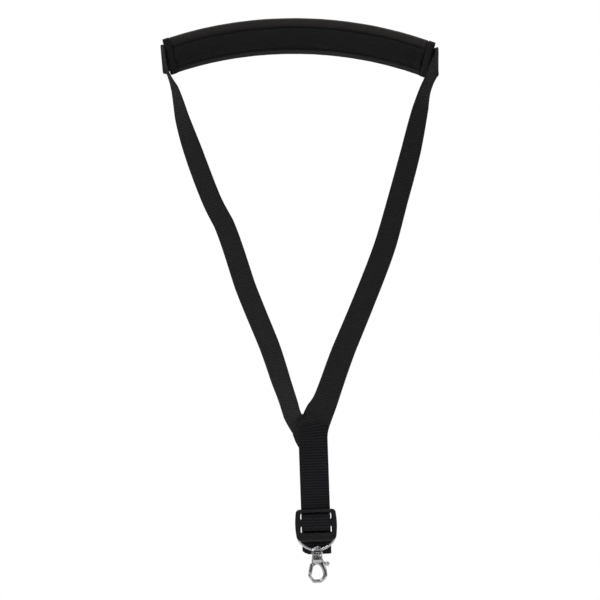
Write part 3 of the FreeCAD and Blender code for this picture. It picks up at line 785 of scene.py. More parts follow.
def arc_points(start: Point2, middle: Point2, end: Point2, spacing: float) -> list[Point2]:
    """Points on the arc through three points, without its start.

    Args:
        start: Start of the arc.
        middle: A point on the arc.
        end: End of the arc.
        spacing: Greatest distance between points.

    Returns:
        The points, ending at end.
    """
    ax, ay = start
    bx, by = middle
    cx, cy = end
    scale = 2 * (ax * (by - cy) + bx * (cy - ay) + cx * (ay - by))
    if abs(scale) < 1e-9:
        return [end]
    squares = (ax * ax + ay * ay, bx * bx + by * by, cx * cx + cy * cy)
    ux = (squares[0] * (by - cy) + squares[1] * (cy - ay) + squares[2] * (ay - by)) / scale
    uy = (squares[0] * (cx - bx) + squares[1] * (ax - cx) + squares[2] * (bx - ax)) / scale
    first = math.atan2(ay - uy, ax - ux)
    half = (math.atan2(by - uy, bx - ux) - first + math.pi) % math.tau - math.pi
    whole = (math.atan2(cy - uy, cx - ux) - first) % math.tau
    if half < 0:
        whole -= math.tau
    radius = math.hypot(ax - ux, ay - uy)
    count = max(2, math.ceil(abs(whole) * radius / spacing))
    return [
        (ux + radius * math.cos(first + whole * i / count), uy + radius * math.sin(first + whole * i / count))
        for i in range(1, count + 1)
    ]


def closed_outline(steps: Sequence[Step], spacing: float = 0.35, rounds: int = 0) -> list[Point2]:
    """An outline as evenly spaced points, its corners softened.

    Args:
        steps: Corners, or pairs of a point on an arc and the arc's end; the first is a corner.
        spacing: Distance between points.
        rounds: How many times each point moves towards its neighbours.

    Returns:
        The closed outline's points.
    """
    start = steps[0]
    dense: list[Point2] = [start]
    for step in [*steps[1:], start]:
        if isinstance(step[0], tuple):
            dense += arc_points(dense[-1], step[0], step[1], spacing)
        else:
            dense.append(step)
    lengths = [math.dist(a, b) for a, b in zip(dense, dense[1:])]
    total = sum(lengths)
    count = max(8, round(total / spacing))
    even: list[Point2] = []
    index, passed = 0, 0.0
    for i in range(count):
        target = total * i / count
        while passed + lengths[index] < target:
            passed += lengths[index]
            index += 1
        share = (target - passed) / max(lengths[index], 1e-9)
        a, b = dense[index], dense[index + 1]
        even.append((a[0] + (b[0] - a[0]) * share, a[1] + (b[1] - a[1]) * share))
    for _ in range(rounds):
        even = [
            tuple((even[i - 1][k] + 2 * even[i][k] + even[(i + 1) % count][k]) / 4 for k in (0, 1))
            for i in range(count)
        ]
    return even


def rounded_run(points: Sequence[Point2], radii: Sequence[float], spacing: float) -> list[Point2]:
    """A polyline with its inner corners replaced by arcs.

    Args:
        points: The polyline's corners.
        radii: A radius for each inner corner.
        spacing: Greatest distance between points on an arc.

    Returns:
        The rounded line's points.
    """
    made = [points[0]]
    for before, corner, after, radius in zip(points, points[1:], points[2:], radii):
        first = (Vector(corner) - Vector(before)).normalized()
        last = (Vector(after) - Vector(corner)).normalized()
        turn = math.atan2(first.x * last.y - first.y * last.x, first.dot(last))
        reach = radius * math.tan(abs(turn) / 2)
        side = Vector((-first.y, first.x)) * math.copysign(radius, turn)
        enter = Vector(corner) - first * reach
        leave = Vector(corner) + last * reach
        centre = enter + side
        middle = centre + (Vector(corner) - centre).normalized() * radius
        made.append(tuple(enter))
        made += arc_points(tuple(enter), tuple(middle), tuple(leave), spacing)
    made.append(points[-1])
    return made


@dataclass(frozen=True)
class Station:
    """One point of a band's path, with the direction of its width."""

    centre: Vector
    across: Vector


def smooth_stations(stations: Sequence[Station], spacing: float) -> list[Station]:
    """A centripetal Catmull-Rom curve through stations.

    Args:
        stations: The stations that it passes through.
        spacing: Greatest distance between the points that it is made of.

    Returns:
        Dense stations along the curve.
    """
    first, last = stations[0], stations[-1]
    ends = (
        Station(first.centre * 2 - stations[1].centre, first.across),
        Station(last.centre * 2 - stations[-2].centre, last.across),
    )
    chain = [ends[0], *stations, ends[1]]
    made = [first]
    for i in range(1, len(chain) - 2):
        group = chain[i - 1 : i + 3]
        knots = [0.0]
        for a, b in zip(group, group[1:]):
            knots.append(knots[-1] + math.sqrt((b.centre - a.centre).length))
        count = max(1, math.ceil((group[2].centre - group[1].centre).length / spacing))
        for j in range(1, count + 1):
            at = knots[1] + (knots[2] - knots[1]) * j / count
            made.append(
                Station(
                    catmull([s.centre for s in group], knots, at),
                    catmull([s.across for s in group], knots, at),
                )
            )
    return made


def catmull(points: Sequence[Vector], knots: Sequence[float], at: float) -> Vector:
    """One point of a Catmull-Rom span.

    Args:
        points: The span's four control points.
        knots: Their four knots.
        at: Where to evaluate, between the second and third knots.

    Returns:
        The point.
    """
    level = list(points)
    for depth in range(1, 4):
        width = 1 if depth == 1 else 2
        level = [
            level[i].lerp(
                level[i + 1],
                (at - knots[i + (depth - width)])
                / (knots[i + (depth - width) + width] - knots[i + (depth - width)]),
            )
            for i in range(len(level) - 1)
        ]
    return level[0]


@dataclass
class BandPath:
    """Dense stations measured along their length in millimetres."""

    stations: list[Station]
    marks: list[float] = field(init=False)

    def __post_init__(self) -> None:
        """Measures the path."""
        self.marks = [0.0]
        for a, b in zip(self.stations, self.stations[1:]):
            self.marks.append(self.marks[-1] + (b.centre - a.centre).length)

    @property
    def length(self) -> float:
        """The path's whole length."""
        return self.marks[-1]

    def at(self, run: float) -> tuple[Vector, Vector, Vector]:
        """The path at one length.

        Args:
            run: Distance along the path.

        Returns:
            The centre, the width direction and the direction out of the band's face.
        """
        low, high = 0, len(self.marks) - 2
        while low < high:
            middle = (low + high + 1) // 2
            if self.marks[middle] <= run:
                low = middle
            else:
                high = middle - 1
        a, b = self.stations[low], self.stations[low + 1]
        share = (run - self.marks[low]) / max(self.marks[low + 1] - self.marks[low], 1e-9)
        before = self.stations[max(low - 1, 0)].centre
        after = self.stations[min(low + 2, len(self.stations) - 1)].centre
        early, late = (b.centre - before).normalized(), (after - a.centre).normalized()
        ahead = early.lerp(late, min(max(share, 0.0), 1.0)).normalized()
        across = a.across.lerp(b.across, share)
        across = (across - ahead * across.dot(ahead)).normalized()
        return a.centre.lerp(b.centre, share), across, ahead.cross(across)


@dataclass
class Band:
    """A woven band with raised ribs and thicker selvedges."""

    width: float = 25.0
    thickness: float = 1.4
    rib_pitch: float = 2.4
    rib_height: float = 0.26
    step: float = 0.34
    selvedge: float = 1.5
    wander: float = 0.12

    def profile(self) -> list[tuple[float, float, float]]:
        """The section as (across, out, face weight) round its closed loop."""
        half = self.width / 2
        body = self.thickness / 2 - self.rib_height
        front = [
            (half - 0.3, body * 0.72, 0.0),
            (half - 0.75, body + 0.08, 0.15),
            (half - self.selvedge, body + 0.02, 0.35),
            (half - self.selvedge - 0.5, body - 0.04, 1.0),
        ]
        inner = [(half * share, body, 1.0) for share in (0.55, 0.2)]
        right = [(half, 0.0, 0.0), *front, *inner]
        top = right + [(-x, y, w) for x, y, w in reversed(right)]
        under = [(x, -y, w) for x, y, w in reversed(top[1:-1])]
        return top + under

    def build(
        self,
        name: str,
        path: BandPath,
        cut: Callable[[float], float] | None = None,
        slant: Callable[[float, float], float] | None = None,
    ) -> bpy.types.Object:
        """Sweeps the section along a path.

        Args:
            name: The object's name.
            path: The path that it follows.
            cut: Length cut off the far end at each place across the width.
            slant: Shift of the ribs at each place, by run and across.

        Returns:
            The band without its ribs raised.
        """
        loop = self.profile()
        rows = max(2, round(path.length / self.step))
        points: list[Vector] = []
        runs: list[float] = []
        for i in range(rows + 1):
            run = path.length * i / rows
            shift = noise.noise(Vector((run * 0.03, len(name), 0.0))) * self.wander
            for u, v, _ in loop:
                own = min(run, path.length - (cut(u) if cut else 0.0) + 0.02 * (i - rows))
                centre, across, out = path.at(own)
                points.append(centre + across * u + out * (v + shift * min(1.0, run / 12.0)))
                runs.append(own + (slant(own, u) if slant else 0.0))
        readings = {
            "run": runs,
            "across": [u for u, _, _ in loop] * (rows + 1),
            "face": [w for _, _, w in loop] * (rows + 1),
        }
        return solid_object(name, points, grid_faces(rows + 1, len(loop)), readings)


def side_path(points: Sequence[Point2], radii: Sequence[float]) -> BandPath:
    """The path of a band seen from the side, with its width along X.

    Args:
        points: Corners as (y, z).
        radii: Corner radii.

    Returns:
        The band's path.
    """
    across = Vector((-1.0, 0.0, 0.0))
    return BandPath([Station(Vector((0.0, y, z)), across) for y, z in rounded_run(points, radii, 0.12)])


def tube(
    name: str, centres: Sequence[Vector], radius: float, closed: bool, sides: int = 20
) -> bpy.types.Object:
    """A round wire along a smooth line.

    Args:
        name: The object's name.
        centres: Points of the wire's centre line.
        radius: The wire's radius.
        closed: True if the line meets itself.
        sides: Points round the wire.

    Returns:
        The wire's object.
    """
    count = len(centres)
    points: list[Vector] = []
    guide = Vector((0.12, 0.99, 0.05)).normalized()
    for i, centre in enumerate(centres):
        ahead = centres[(i + 1) % count] if closed or i + 1 < count else centre
        behind = centres[i - 1] if closed or i else centre
        run = (ahead - behind).normalized()
        guide = (guide - run * guide.dot(run)).normalized()
        up = run.cross(guide)
        for j in range(sides):
            turn = math.tau * j / sides
            points.append(centre + guide * (radius * math.cos(turn)) + up * (radius * math.sin(turn)))
    faces = grid_faces(count, sides)
    if closed:
        faces = faces[:-2]
        last = (count - 1) * sides
        faces += [(last + j, last + (j + 1) % sides, (j + 1) % sides, j) for j in range(sides)]
    return solid_object(name, points, faces)


def lathe(name: str, outline: Sequence[Point2], centre: Point2, sides: int = 48) -> bpy.types.Object:
    """A turned part about a vertical axis.

    Args:
        name: The object's name.
        outline: (radius, z) points from top to bottom, or a closed ring's points.
        centre: The axis as (x, y).
        sides: Points round the axis.

    Returns:
        The turned object.
    """
    points = [
        Vector(
            (
                centre[0] + r * math.cos(math.tau * j / sides),
                centre[1] + r * math.sin(math.tau * j / sides),
                z,
            )
        )
        for r, z in outline
        for j in range(sides)
    ]
    return solid_object(name, points, grid_faces(len(outline), sides))


def plate(
    name: str,
    loops: Sequence[Sequence[Point2]],
    middle_y: float,
    depth: float,
    rim: float,
) -> bpy.types.Object:
    """A flat part with rounded rims, standing in the XZ plane.

    Args:
        name: The object's name.
        loops: Closed outlines as (x, z): the outer one, then any holes.
        middle_y: Where the middle of its depth lies.
        depth: Its depth along Y.
        rim: Radius of its rims.

    Returns:
        The part's object.
    """
    line = bpy.data.curves.new(name, "CURVE")
    line.dimensions = "2D"
    line.fill_mode = "BOTH"
    line.extrude = depth / 2 - rim
    line.bevel_depth = rim
    line.bevel_resolution = 4
    line.offset = -rim
    for loop in loops:
        spline = line.splines.new("POLY")
        spline.points.add(len(loop) - 1)
        spline.points.foreach_set("co", [c for x, z in loop for c in (x, z, 0.0, 1.0)])
        spline.use_cyclic_u = True
    shape = bpy.data.objects.new(name + "_line", line)
    bpy.context.scene.collection.objects.link(shape)
    bpy.context.view_layer.update()
    graph = bpy.context.evaluated_depsgraph_get()
    mesh = bpy.data.meshes.new_from_object(shape.evaluated_get(graph))
    bpy.data.objects.remove(shape)
    work = bmesh.new()
    work.from_mesh(mesh)
    bmesh.ops.remove_doubles(work, verts=work.verts, dist=0.002)
    bmesh.ops.recalc_face_normals(work, faces=work.faces)
    work.to_mesh(mesh)
    work.free()
    mesh.transform(Matrix.Rotation(math.pi / 2, 4, "X"))
    mesh.transform(Matrix.Translation((0.0, middle_y, 0.0)))
    mesh.transform(Matrix.Scale(MM, 4))
    mesh.name = name
    thing = bpy.data.objects.new(name, mesh)
    bpy.context.scene.collection.objects.link(thing)
    return thing


# ---------------------------------------------------------------- neck pad


@dataclass(frozen=True)
class NeckArc:
    """The cone arc that the pad follows; its sections have depth from the neck and height."""

    radius: float = 225.0
    tilt: float = 43.0
    lean: float = 22.0
    roll: float = 2.7
    half_angle: float = 29.6

    @property
    def slope(self) -> float:
        """Angle of the arc's plane in the pad's own upright frame."""
        return math.radians(self.tilt + self.lean)

    @property
    def axis(self) -> Vector:
        """The arc's axis in the upright frame."""
        return Vector((0.0, math.cos(self.slope), -math.sin(self.slope)))

    @property
    def centre(self) -> Vector:
        """The arc's centre in the upright frame."""
        return Vector((0.0, -math.sin(self.slope), -math.cos(self.slope))) * self.radius

    @property
    def stance(self) -> Matrix:
        """How the whole pad leans back and hangs lower on the wearer's left."""
        hang = Matrix.Rotation(math.radians(self.roll), 4, "Y")
        return hang @ Matrix.Rotation(math.radians(self.lean), 4, "X")

    def place(self, angle: float) -> Matrix:
        """The matrix that carries a middle section to an angle in degrees."""
        about = Matrix.Translation(self.centre) @ Matrix.Rotation(math.radians(angle), 4, self.axis)
        return self.stance @ about @ Matrix.Translation(-self.centre)

    def point(self, angle: float, depth: float, height: float) -> Vector:
        """A point by arc angle and section place."""
        return self.place(angle) @ Vector((0.0, depth, height))

    def direction(self, angle: float, vector: Vector) -> Vector:
        """A direction of the section at an angle, in the strap's frame."""
        return self.place(angle).to_3x3() @ vector

    def locate(self, point: Vector) -> Vector:
        """Where a point lies on the pad.

        Args:
            point: A point in the strap's frame, in millimetres.

        Returns:
            Its arc angle in degrees, depth and height.
        """
        upright = self.stance.inverted() @ point - self.centre
        along = upright.dot(self.axis)
        outward = -self.centre.normalized()
        forward = upright.dot(outward)
        away = math.hypot(forward, upright.x) - self.radius
        sine, cosine = math.sin(self.slope), math.cos(self.slope)
        angle = math.degrees(math.atan2(upright.x, forward))
        return Vector((angle, along * cosine + away * sine, -along * sine + away * cosine))


@dataclass
class NeckPad:
    """The padded crescent: fleece channel, tapes, lining, webbing and seams."""

    wardrobe: Wardrobe
    ribs: RibRecipe
    stitches: StitchRecipe
    pile: PileRecipe
    arc: NeckArc = field(default_factory=NeckArc)
    band: Band = field(default_factory=Band)
    top: float = 17.7
    bottom: float = -14.3
    channel: float = 9.6
    flange: float = 3.8
    crown_start: float = 0.85
    crown_limit: float = -0.35
    tape: float = 0.7
    hem_angle: float = 1.5
    voxel: float = 1.4
    pressure: float = 4.0
    cap: float = 0.9
    frames: int = 20
    stitch_pitch: float = 2.9

    def build(self) -> list[bpy.types.Object]:
        """Builds and dresses every piece of the pad.

        Returns:
            The finished pieces.
        """
        return [
            *self.fleece(),
            self.foam(),
            self.edge_tape("binding_top_tape", self.top, "binding_top"),
            self.edge_tape("binding_bottom_tape", self.bottom, "binding_bottom"),
            self.end_tape(Side.LEFT),
            self.end_tape(Side.RIGHT),
            self.lining(),
            self.webbing(),
            self.seams(),
        ]

    def along(
        self,
        name: str,
        section: Sequence[Point2],
        end_gap: float,
        rows: int = 150,
        pucker: float = 0.0,
    ) -> bpy.types.Object:
        """Sweeps a closed section along the pad.

        Args:
            name: The object's name.
            section: Closed loop of (depth, height).
            end_gap: Degrees left free at both ends.
            rows: Sections along the pad.
            pucker: Depth of the small waves that sewing leaves.

        Returns:
            The swept object, with run and across attributes.
        """
        reach = self.arc.half_angle - end_gap
        points: list[Vector] = []
        runs: list[float] = []
        crossings: list[float] = []
        across = [0.0]
        for a, b in zip(section, section[1:]):
            across.append(across[-1] + math.dist(a, b))
        for i in range(rows + 1):
            angle = -reach + 2 * reach * i / rows
            run = math.radians(angle) * self.arc.radius
            wave = pucker * math.sin(math.tau * run / (2 * self.stitch_pitch))
            matrix = self.arc.place(angle)
            for (depth, height), u in zip(section, across):
                drift = noise.noise(Vector((run * 0.12, height * 0.2, len(name)))) * pucker
                points.append(matrix @ Vector((0.0, depth + wave * 0.5 + drift, height + drift * 0.6)))
                runs.append(run)
                crossings.append(u)
        faces = grid_faces(rows + 1, len(section))
        return solid_object(name, points, faces, {"run": runs, "across": crossings})

    def channel_loop(self, crown: float, half: float, back: float, count: int = 12) -> list[Point2]:
        """The padded channel's section.

        Args:
            crown: Depth of its crown.
            half: Half its height.
            back: Depth of its flat back.
            count: Divisions of the crown.

        Returns:
            A closed loop of (depth, height).
        """
        rise = self.flange - crown
        front = [
            (self.flange - rise * (1 - abs(s) ** 2.3), half * s)
            for s in (2 * i / count - 1 for i in range(count + 1))
        ]
        return [*front, (back, half), (back, 0.0), (back, -half)]

    def fleece(self) -> list[bpy.types.Object]:
        """The fleece over the foam, puffed up by cloth simulation, and its pile."""
        section = self.channel_loop(self.crown_start, self.channel - 0.15, self.flange + 0.75)
        pad = self.along("fleece_channel", section, self.hem_angle + 0.2, rows=180)
        self.puff(pad)
        halve = pad.modifiers.new("finer", "SUBSURF")
        halve.levels = halve.render_levels = 1
        settle(pad)
        self.mark(pad)
        skirt = self.along(
            "fleece_skirt",
            [(self.flange + 0.1, self.top - 1.3), (self.flange + 0.1, self.bottom + 1.3),
             (self.flange + 0.7, self.bottom + 1.3), (self.flange + 0.7, self.top - 1.3)],
            self.hem_angle + 0.2,
        )
        host = bpy.data.objects.new("fleece_pile", pad.data.copy())
        bpy.context.scene.collection.objects.link(host)
        pile = self.pile.apply(host, self.wardrobe.plush)
        facing = joined("fleece_facing", [pad, skirt])
        dress(facing, self.wardrobe.plush, Body.STRAP, ["pad_facing"])
        dress(pile, self.wardrobe.plush, Body.STRAP, [])
        return [facing, pile]

    def puff(self, pad: bpy.types.Object) -> None:
        """Blows the channel up between its seams and keeps the result.

        Args:
            pad: The closed channel, slightly smaller than it ends up.
        """
        remesh = pad.modifiers.new("even", "REMESH")
        remesh.mode = "VOXEL"
        remesh.voxel_size = self.voxel * MM
        settle(pad)
        start = [v.co.copy() for v in pad.data.vertices]
        held = pad.vertex_groups.new(name="sewn")
        for vertex in pad.data.vertices:
            where = self.arc.locate(vertex.co / MM)
            edge = max(abs(where.z) - (self.channel - 1.6), where.y - (self.flange - 0.5), 0.0)
            ends = max(abs(where.x) - (self.arc.half_angle - self.hem_angle - 0.8), 0.0)
            held.add([vertex.index], min(1.0, edge + ends), "REPLACE")
        cloth = pad.modifiers.new("puff", "CLOTH")
        cloth.settings.use_pressure = True
        cloth.settings.uniform_pressure_force = self.pressure
        cloth.settings.vertex_group_mass = "sewn"
        cloth.settings.effector_weights.gravity = 0.0
        cloth.point_cache.frame_start = 1
        cloth.point_cache.frame_end = self.frames
        scene = bpy.context.scene
        for frame in range(1, self.frames + 1):
            scene.frame_set(frame)
        settle(pad)
        moved = 0.0
        for vertex, old in zip(pad.data.vertices, start):
            shift = (vertex.co - old) / MM
            shift *= min(1.0, self.cap / max(shift.length, 1e-9))
            place = old / MM + shift
            where = self.arc.locate(place)
            if where.y < self.crown_limit:
                place = self.arc.point(where.x, self.crown_limit, where.z)
            moved = max(moved, (place - old / MM).length)
            vertex.co = place * MM
        scene.frame_set(1)
        LOG.info("fleece puffed by up to %.2f mm", moved)

    def mark(self, pad: bpy.types.Object) -> None:
        """Stores where each point lies on the pad, and which faces carry pile.

        Args:
            pad: The finished channel.
        """
        spots = [self.arc.locate(v.co / MM) for v in pad.data.vertices]
        reading = {
            "run": [math.radians(s.x) * self.arc.radius for s in spots],
            "across": [s.z for s in spots],
            "pile": [1.0 if s.y < self.flange - 0.1 else 0.0 for s in spots],
        }
        for key, values in reading.items():
            old = pad.data.attributes.get(key)
            if old is not None:
                pad.data.attributes.remove(old)
            pad.data.attributes.new(key, "FLOAT", "POINT").data.foreach_set("value", values)

    def foam(self) -> bpy.types.Object:
        """The foam strip under the fleece."""
        section = self.channel_loop(2.0, self.channel - 1.1, self.flange + 0.7)
        core = self.along("foam_strip", section, self.hem_angle + 0.5, rows=80)
        return dress(core, self.wardrobe.lining, Body.STRAP, ["pad_foam"])

    def tape_section(self, spine: Sequence[Point2]) -> list[Point2]:
        """A closed section of even thickness about a spine, slightly full in its middle."""
        half = self.tape / 2
        left: list[Point2] = []
        right: list[Point2] = []
        for i, spot in enumerate(spine):
            ahead, behind = spine[min(i + 1, len(spine) - 1)], spine[max(i - 1, 0)]
            run = (Vector(ahead) - Vector(behind)).normalized()
            out = Vector((-run.y, run.x)) * half * (0.55 if i in (0, len(spine) - 1) else 1.0)
            left.append(tuple(Vector(spot) + out))
            right.append(tuple(Vector(spot) - out))
        return left + right[::-1]

    def edge_tape(self, name: str, edge: float, node: str) -> bpy.types.Object:
        """The tape folded round one long edge.

        Args:
            name: The object's name.
            edge: Height of the fold.
            node: The CAD node that it stands for.

        Returns:
            The dressed tape.
        """
        side = 1 if edge > 0 else -1
        front, back = 3.25, 6.25
        fold = edge - side * self.tape / 2
        inner = side * (self.channel + 0.6)
        back_inner = side * (self.band.width / 2 + 0.35)
        full = (inner * 0.45 + fold * 0.55, front - 0.28)
        spine = rounded_run(
            [(front + 0.1, inner), (full[1], full[0]), (front, fold), (back, fold), (back, back_inner)],
            (5.0, 1.1, 1.3),
            0.35,
        )
        tape = self.along(name, self.tape_section(spine), self.hem_angle + 0.12, rows=230, pucker=0.1)
        return dress(tape, self.wardrobe.binding, Body.STRAP, [node])

    def end_tape(self, side: Side) -> bpy.types.Object:
        """The tape folded round one end of the pad.

        Args:
            side: Which end.

        Returns:
            The dressed tape.
        """
        front, back = 3.25, 6.25
        scale = math.radians(1.0) * self.arc.radius
        open_end = (self.arc.half_angle - self.hem_angle) * scale
        fold = self.arc.half_angle * scale + 0.1
        spine = rounded_run(
            [
                (front, open_end),
                (front - 0.15, (open_end + fold) / 2),
                (front, fold),
                (back, fold),
                (back, open_end),
            ],
            (8.0, 1.3, 1.3),
            0.35,
        )
        section = self.tape_section(spine)
        rows = 60
        points: list[Vector] = []
        readings: dict[str, list[float]] = {"run": [], "across": []}
        for i in range(rows + 1):
            height = self.bottom + (self.top - self.bottom) * i / rows
            for j, (depth, reach) in enumerate(section):
                bulge = noise.noise(Vector((height * 0.15, j * 0.1, side.value))) * 0.12
                points.append(self.arc.point(side.value * (reach / scale), depth + bulge, height))
                readings["run"].append(height)
                readings["across"].append(j * 0.4)
        name = f"end_hem_tape_{side.name.lower()}"
        tape = solid_object(name, points, grid_faces(rows + 1, len(section)), readings)
        node = f"end_hem_{side.name.lower()}"
        return dress(tape, self.wardrobe.hem_tape, Body.STRAP, [node])

    def lining(self) -> bpy.types.Object:
        """The lining behind the foam."""
        front, back = self.flange + 1.05, self.flange + 1.95
        low, high = self.bottom + 1.1, self.top - 1.1
        heights = [low + (high - low) * i / 16 for i in range(17)]
        section = [(front, h) for h in heights] + [(back, h) for h in reversed(heights)]
        sheet = self.along("lining_sheet", section, 0.3, rows=120)
        return dress(sheet, self.wardrobe.lining, Body.STRAP, ["pad_backing"])

    def webbing(self) -> bpy.types.Object:
        """The ribbed band along the back of the pad."""
        reach = self.arc.half_angle - self.hem_angle - 0.15
        count = 240
        angles = [-reach + 2 * reach * i / count for i in range(count + 1)]
        stations = [
            Station(self.arc.point(a, 6.6, 0.0), self.arc.direction(a, Vector((0.0, 0.0, 1.0))))
            for a in angles
        ]
        plain = Band(wander=0.0).build("pad_band", BandPath(stations))
        raised = self.ribs.apply(plain, self.wardrobe.strap_webbing, Height=self.band.rib_height * MM)
        return dress(raised, self.wardrobe.strap_webbing, Body.STRAP, ["pad_webbing"])

    def seams(self) -> bpy.types.Object:
        """The stitches that close the channel, along both of its edges."""
        reach = self.arc.half_angle - self.hem_angle - 0.3
        count = 160
        points: list[Vector] = []
        edges: list[tuple[int, int]] = []
        for height in (self.channel + 0.9, -self.channel - 0.9):
            first = len(points)
            points += [
                self.arc.point(-reach + 2 * reach * i / count, self.flange - 0.98, height)
                for i in range(count + 1)
            ]
            edges += [(first + i, first + i + 1) for i in range(count)]
        row = polyline("channel_seams", points, edges)
        made = self.stitches.apply(row, self.wardrobe.thread, Pitch=self.stitch_pitch * MM, Length=2.2 * MM)
        return dress(made, self.wardrobe.thread, Body.STRAP, ["pad_stitching"])


def polyline(name: str, points: Sequence[Vector], edges: Sequence[tuple[int, int]]) -> bpy.types.Object:
    """A mesh of edges only, for a stitch recipe.

    Args:
        name: The object's name.
        points: Points in millimetres.
        edges: Pairs of point indices.

    Returns:
        The object.
    """
    mesh = bpy.data.meshes.new(name)
    mesh.from_pydata([p * MM for p in points], edges, [])
    thing = bpy.data.objects.new(name, mesh)
    bpy.context.scene.collection.objects.link(thing)
    return thing


# ---------------------------------------------------------------- straps and junction


RIGHT_RUN = (
    (-115.9, -32.5, -17.5, 94.0),
    (-112.8, -38.5, -30.0, 90.0),
    (-107.9, -39.5, -42.0, 76.0),
    (-102.4, -38.5, -67.0, 60.0),
    (-94.7, -36.5, -94.0, 50.0),
    (-79.9, -33.5, -138.0, 48.0),
    (-70.0, -32.0, -159.0, 46.0),
    (-54.0, -29.0, -212.0, 44.0),
    (-35.1, -25.0, -264.0, 45.0),
    (-26.0, -22.5, -295.0, 47.0),
    (-20.8, -18.8, -312.0, 49.0),
    (-16.5, -15.5, -327.0, 51.0),
    (-8.6, -14.4, -335.0, 25.0),
    (-4.3, -17.6, -343.0, 6.0),
    (-0.6, -19.2, -350.0, 0.0),
    (0.0, -19.2, -356.0, 0.0),
)
LEFT_RUN = (
    (117.9, -32.5, -27.0, 92.0),
    (113.0, -38.5, -36.5, 76.0),
    (106.7, -39.5, -49.5, 68.0),
    (101.6, -38.5, -66.5, 56.0),
    (92.7, -36.5, -100.5, 46.0),
    (79.7, -33.5, -143.5, 44.0),
    (68.3, -31.5, -180.0, 41.0),
    (48.1, -28.5, -228.5, 40.0),
    (28.9, -26.0, -271.0, 37.0),
    (11.9, -24.0, -313.5, 30.0),
    (7.0, -22.3, -322.5, 14.0),
    (3.6, -20.8, -330.0, 1.0),
    (1.0, -20.9, -338.0, 0.0),
    (0.0, -20.9, -347.0, 0.0),
    (0.0, -20.9, -356.0, 0.0),
)


@dataclass
class NeckStraps:
    """The two straps, from where they are sewn behind the pad down to the junction."""

    wardrobe: Wardrobe
    ribs: RibRecipe
    stitches: StitchRecipe
    arc: NeckArc = field(default_factory=NeckArc)
    band: Band = field(default_factory=Band)
    sewn_depth: float = 8.1
    sewn_back: tuple[float, ...] = (4.5, 2.2, -0.2)
    bend_out: float = 2.2
    tack_width: float = 13.0
    tack_height: float = 19.0

    def build(self) -> list[bpy.types.Object]:
        """Builds both straps and their bar tacks.

        Returns:
            The finished pieces.
        """
        made = []
        for side, run in ((Side.LEFT, LEFT_RUN), (Side.RIGHT, RIGHT_RUN)):
            made.append(self.strap(side, run))
            made.append(self.tack(side))
        return made

    def strap(self, side: Side, run: Sequence[tuple[float, float, float, float]]) -> bpy.types.Object:
        """One strap.

        Args:
            side: Which strap.
            run: Places along the hanging stretch: x, y, z and roll in degrees.

        Returns:
            The dressed strap.
        """
        sign = side.value
        marks: list[tuple[Vector, Vector]] = []
        for back in self.sewn_back:
            angle = sign * (self.arc.half_angle - back)
            face = self.arc.direction(angle, Vector((0.0, -sign, 0.0)))
            marks.append((self.arc.point(angle, self.sewn_depth, 0.0), face))
        outward = self.arc.direction(sign * self.arc.half_angle, Vector((sign, 0.0, 0.0)))
        bend = marks[-1][0] + outward * self.bend_out + Vector((0.0, -1.6, 0.0))
        marks.append((bend, Vector((-1.0, -0.35 * sign, 0.0))))
        for x, y, z, roll in run:
            tilt = math.radians(roll)
            marks.append((Vector((x, y, z)), Vector((-math.sin(tilt), sign * math.cos(tilt), 0.0))))
        stations = []
        for i, (centre, face) in enumerate(marks):
            ahead, behind = marks[min(i + 1, len(marks) - 1)][0], marks[max(i - 1, 0)][0]
            stations.append(Station(centre, face.cross((ahead - behind).normalized()).normalized()))
        name = f"strap_{side.name.lower()}_webbing"
        plain = self.band.build(name, BandPath(smooth_stations(stations, 0.5)))
        raised = self.ribs.apply(plain, self.wardrobe.strap_webbing, Height=self.band.rib_height * MM)
        node = f"strap_{side.name.lower()}"
        return dress(raised, self.wardrobe.strap_webbing, Body.STRAP, [node])

    def tack(self, side: Side) -> bpy.types.Object:
        """The box of stitches that holds one strap to the pad."""
        angle = side.value * (self.arc.half_angle - 2.3)
        matrix = self.arc.place(angle) @ Matrix.Translation((0.0, self.sewn_depth + 0.74, 0.0))
        lines = box_stitches(self.tack_width, self.tack_height)
        points = [matrix @ Vector((x, 0.0, z)) for x, z in lines]
        edges = [(i, i + 1) for i in range(0, len(points), 2)]
        row = polyline(f"tack_{side.name.lower()}_threads", points, edges)
        made = self.stitches.apply(
            row, self.wardrobe.thread, Pitch=2.4 * MM, Length=2.1 * MM, Thickness=0.5 * MM
        )
        node = f"bar_tack_{side.name.lower()}"
        return dress(made, self.wardrobe.thread, Body.STRAP, [node])


def box_stitches(width: float, height: float) -> list[Point2]:
    """The sewing lines of a box with two diagonals, as pairs of ends.

    Args:
        width: The box's width.
        height: The box's height.

    Returns:
        Twelve points, two for each of the six lines.
    """
    x, z = width / 2 - 0.3, height / 2 - 0.3
    corners = [(-x, -z), (x, -z), (x, z), (-x, z)]
    lines = [end for a, b in zip(corners, corners[1:] + corners[:1]) for end in (a, b)]
    return [*lines, corners[0], corners[2], corners[1], corners[3]]


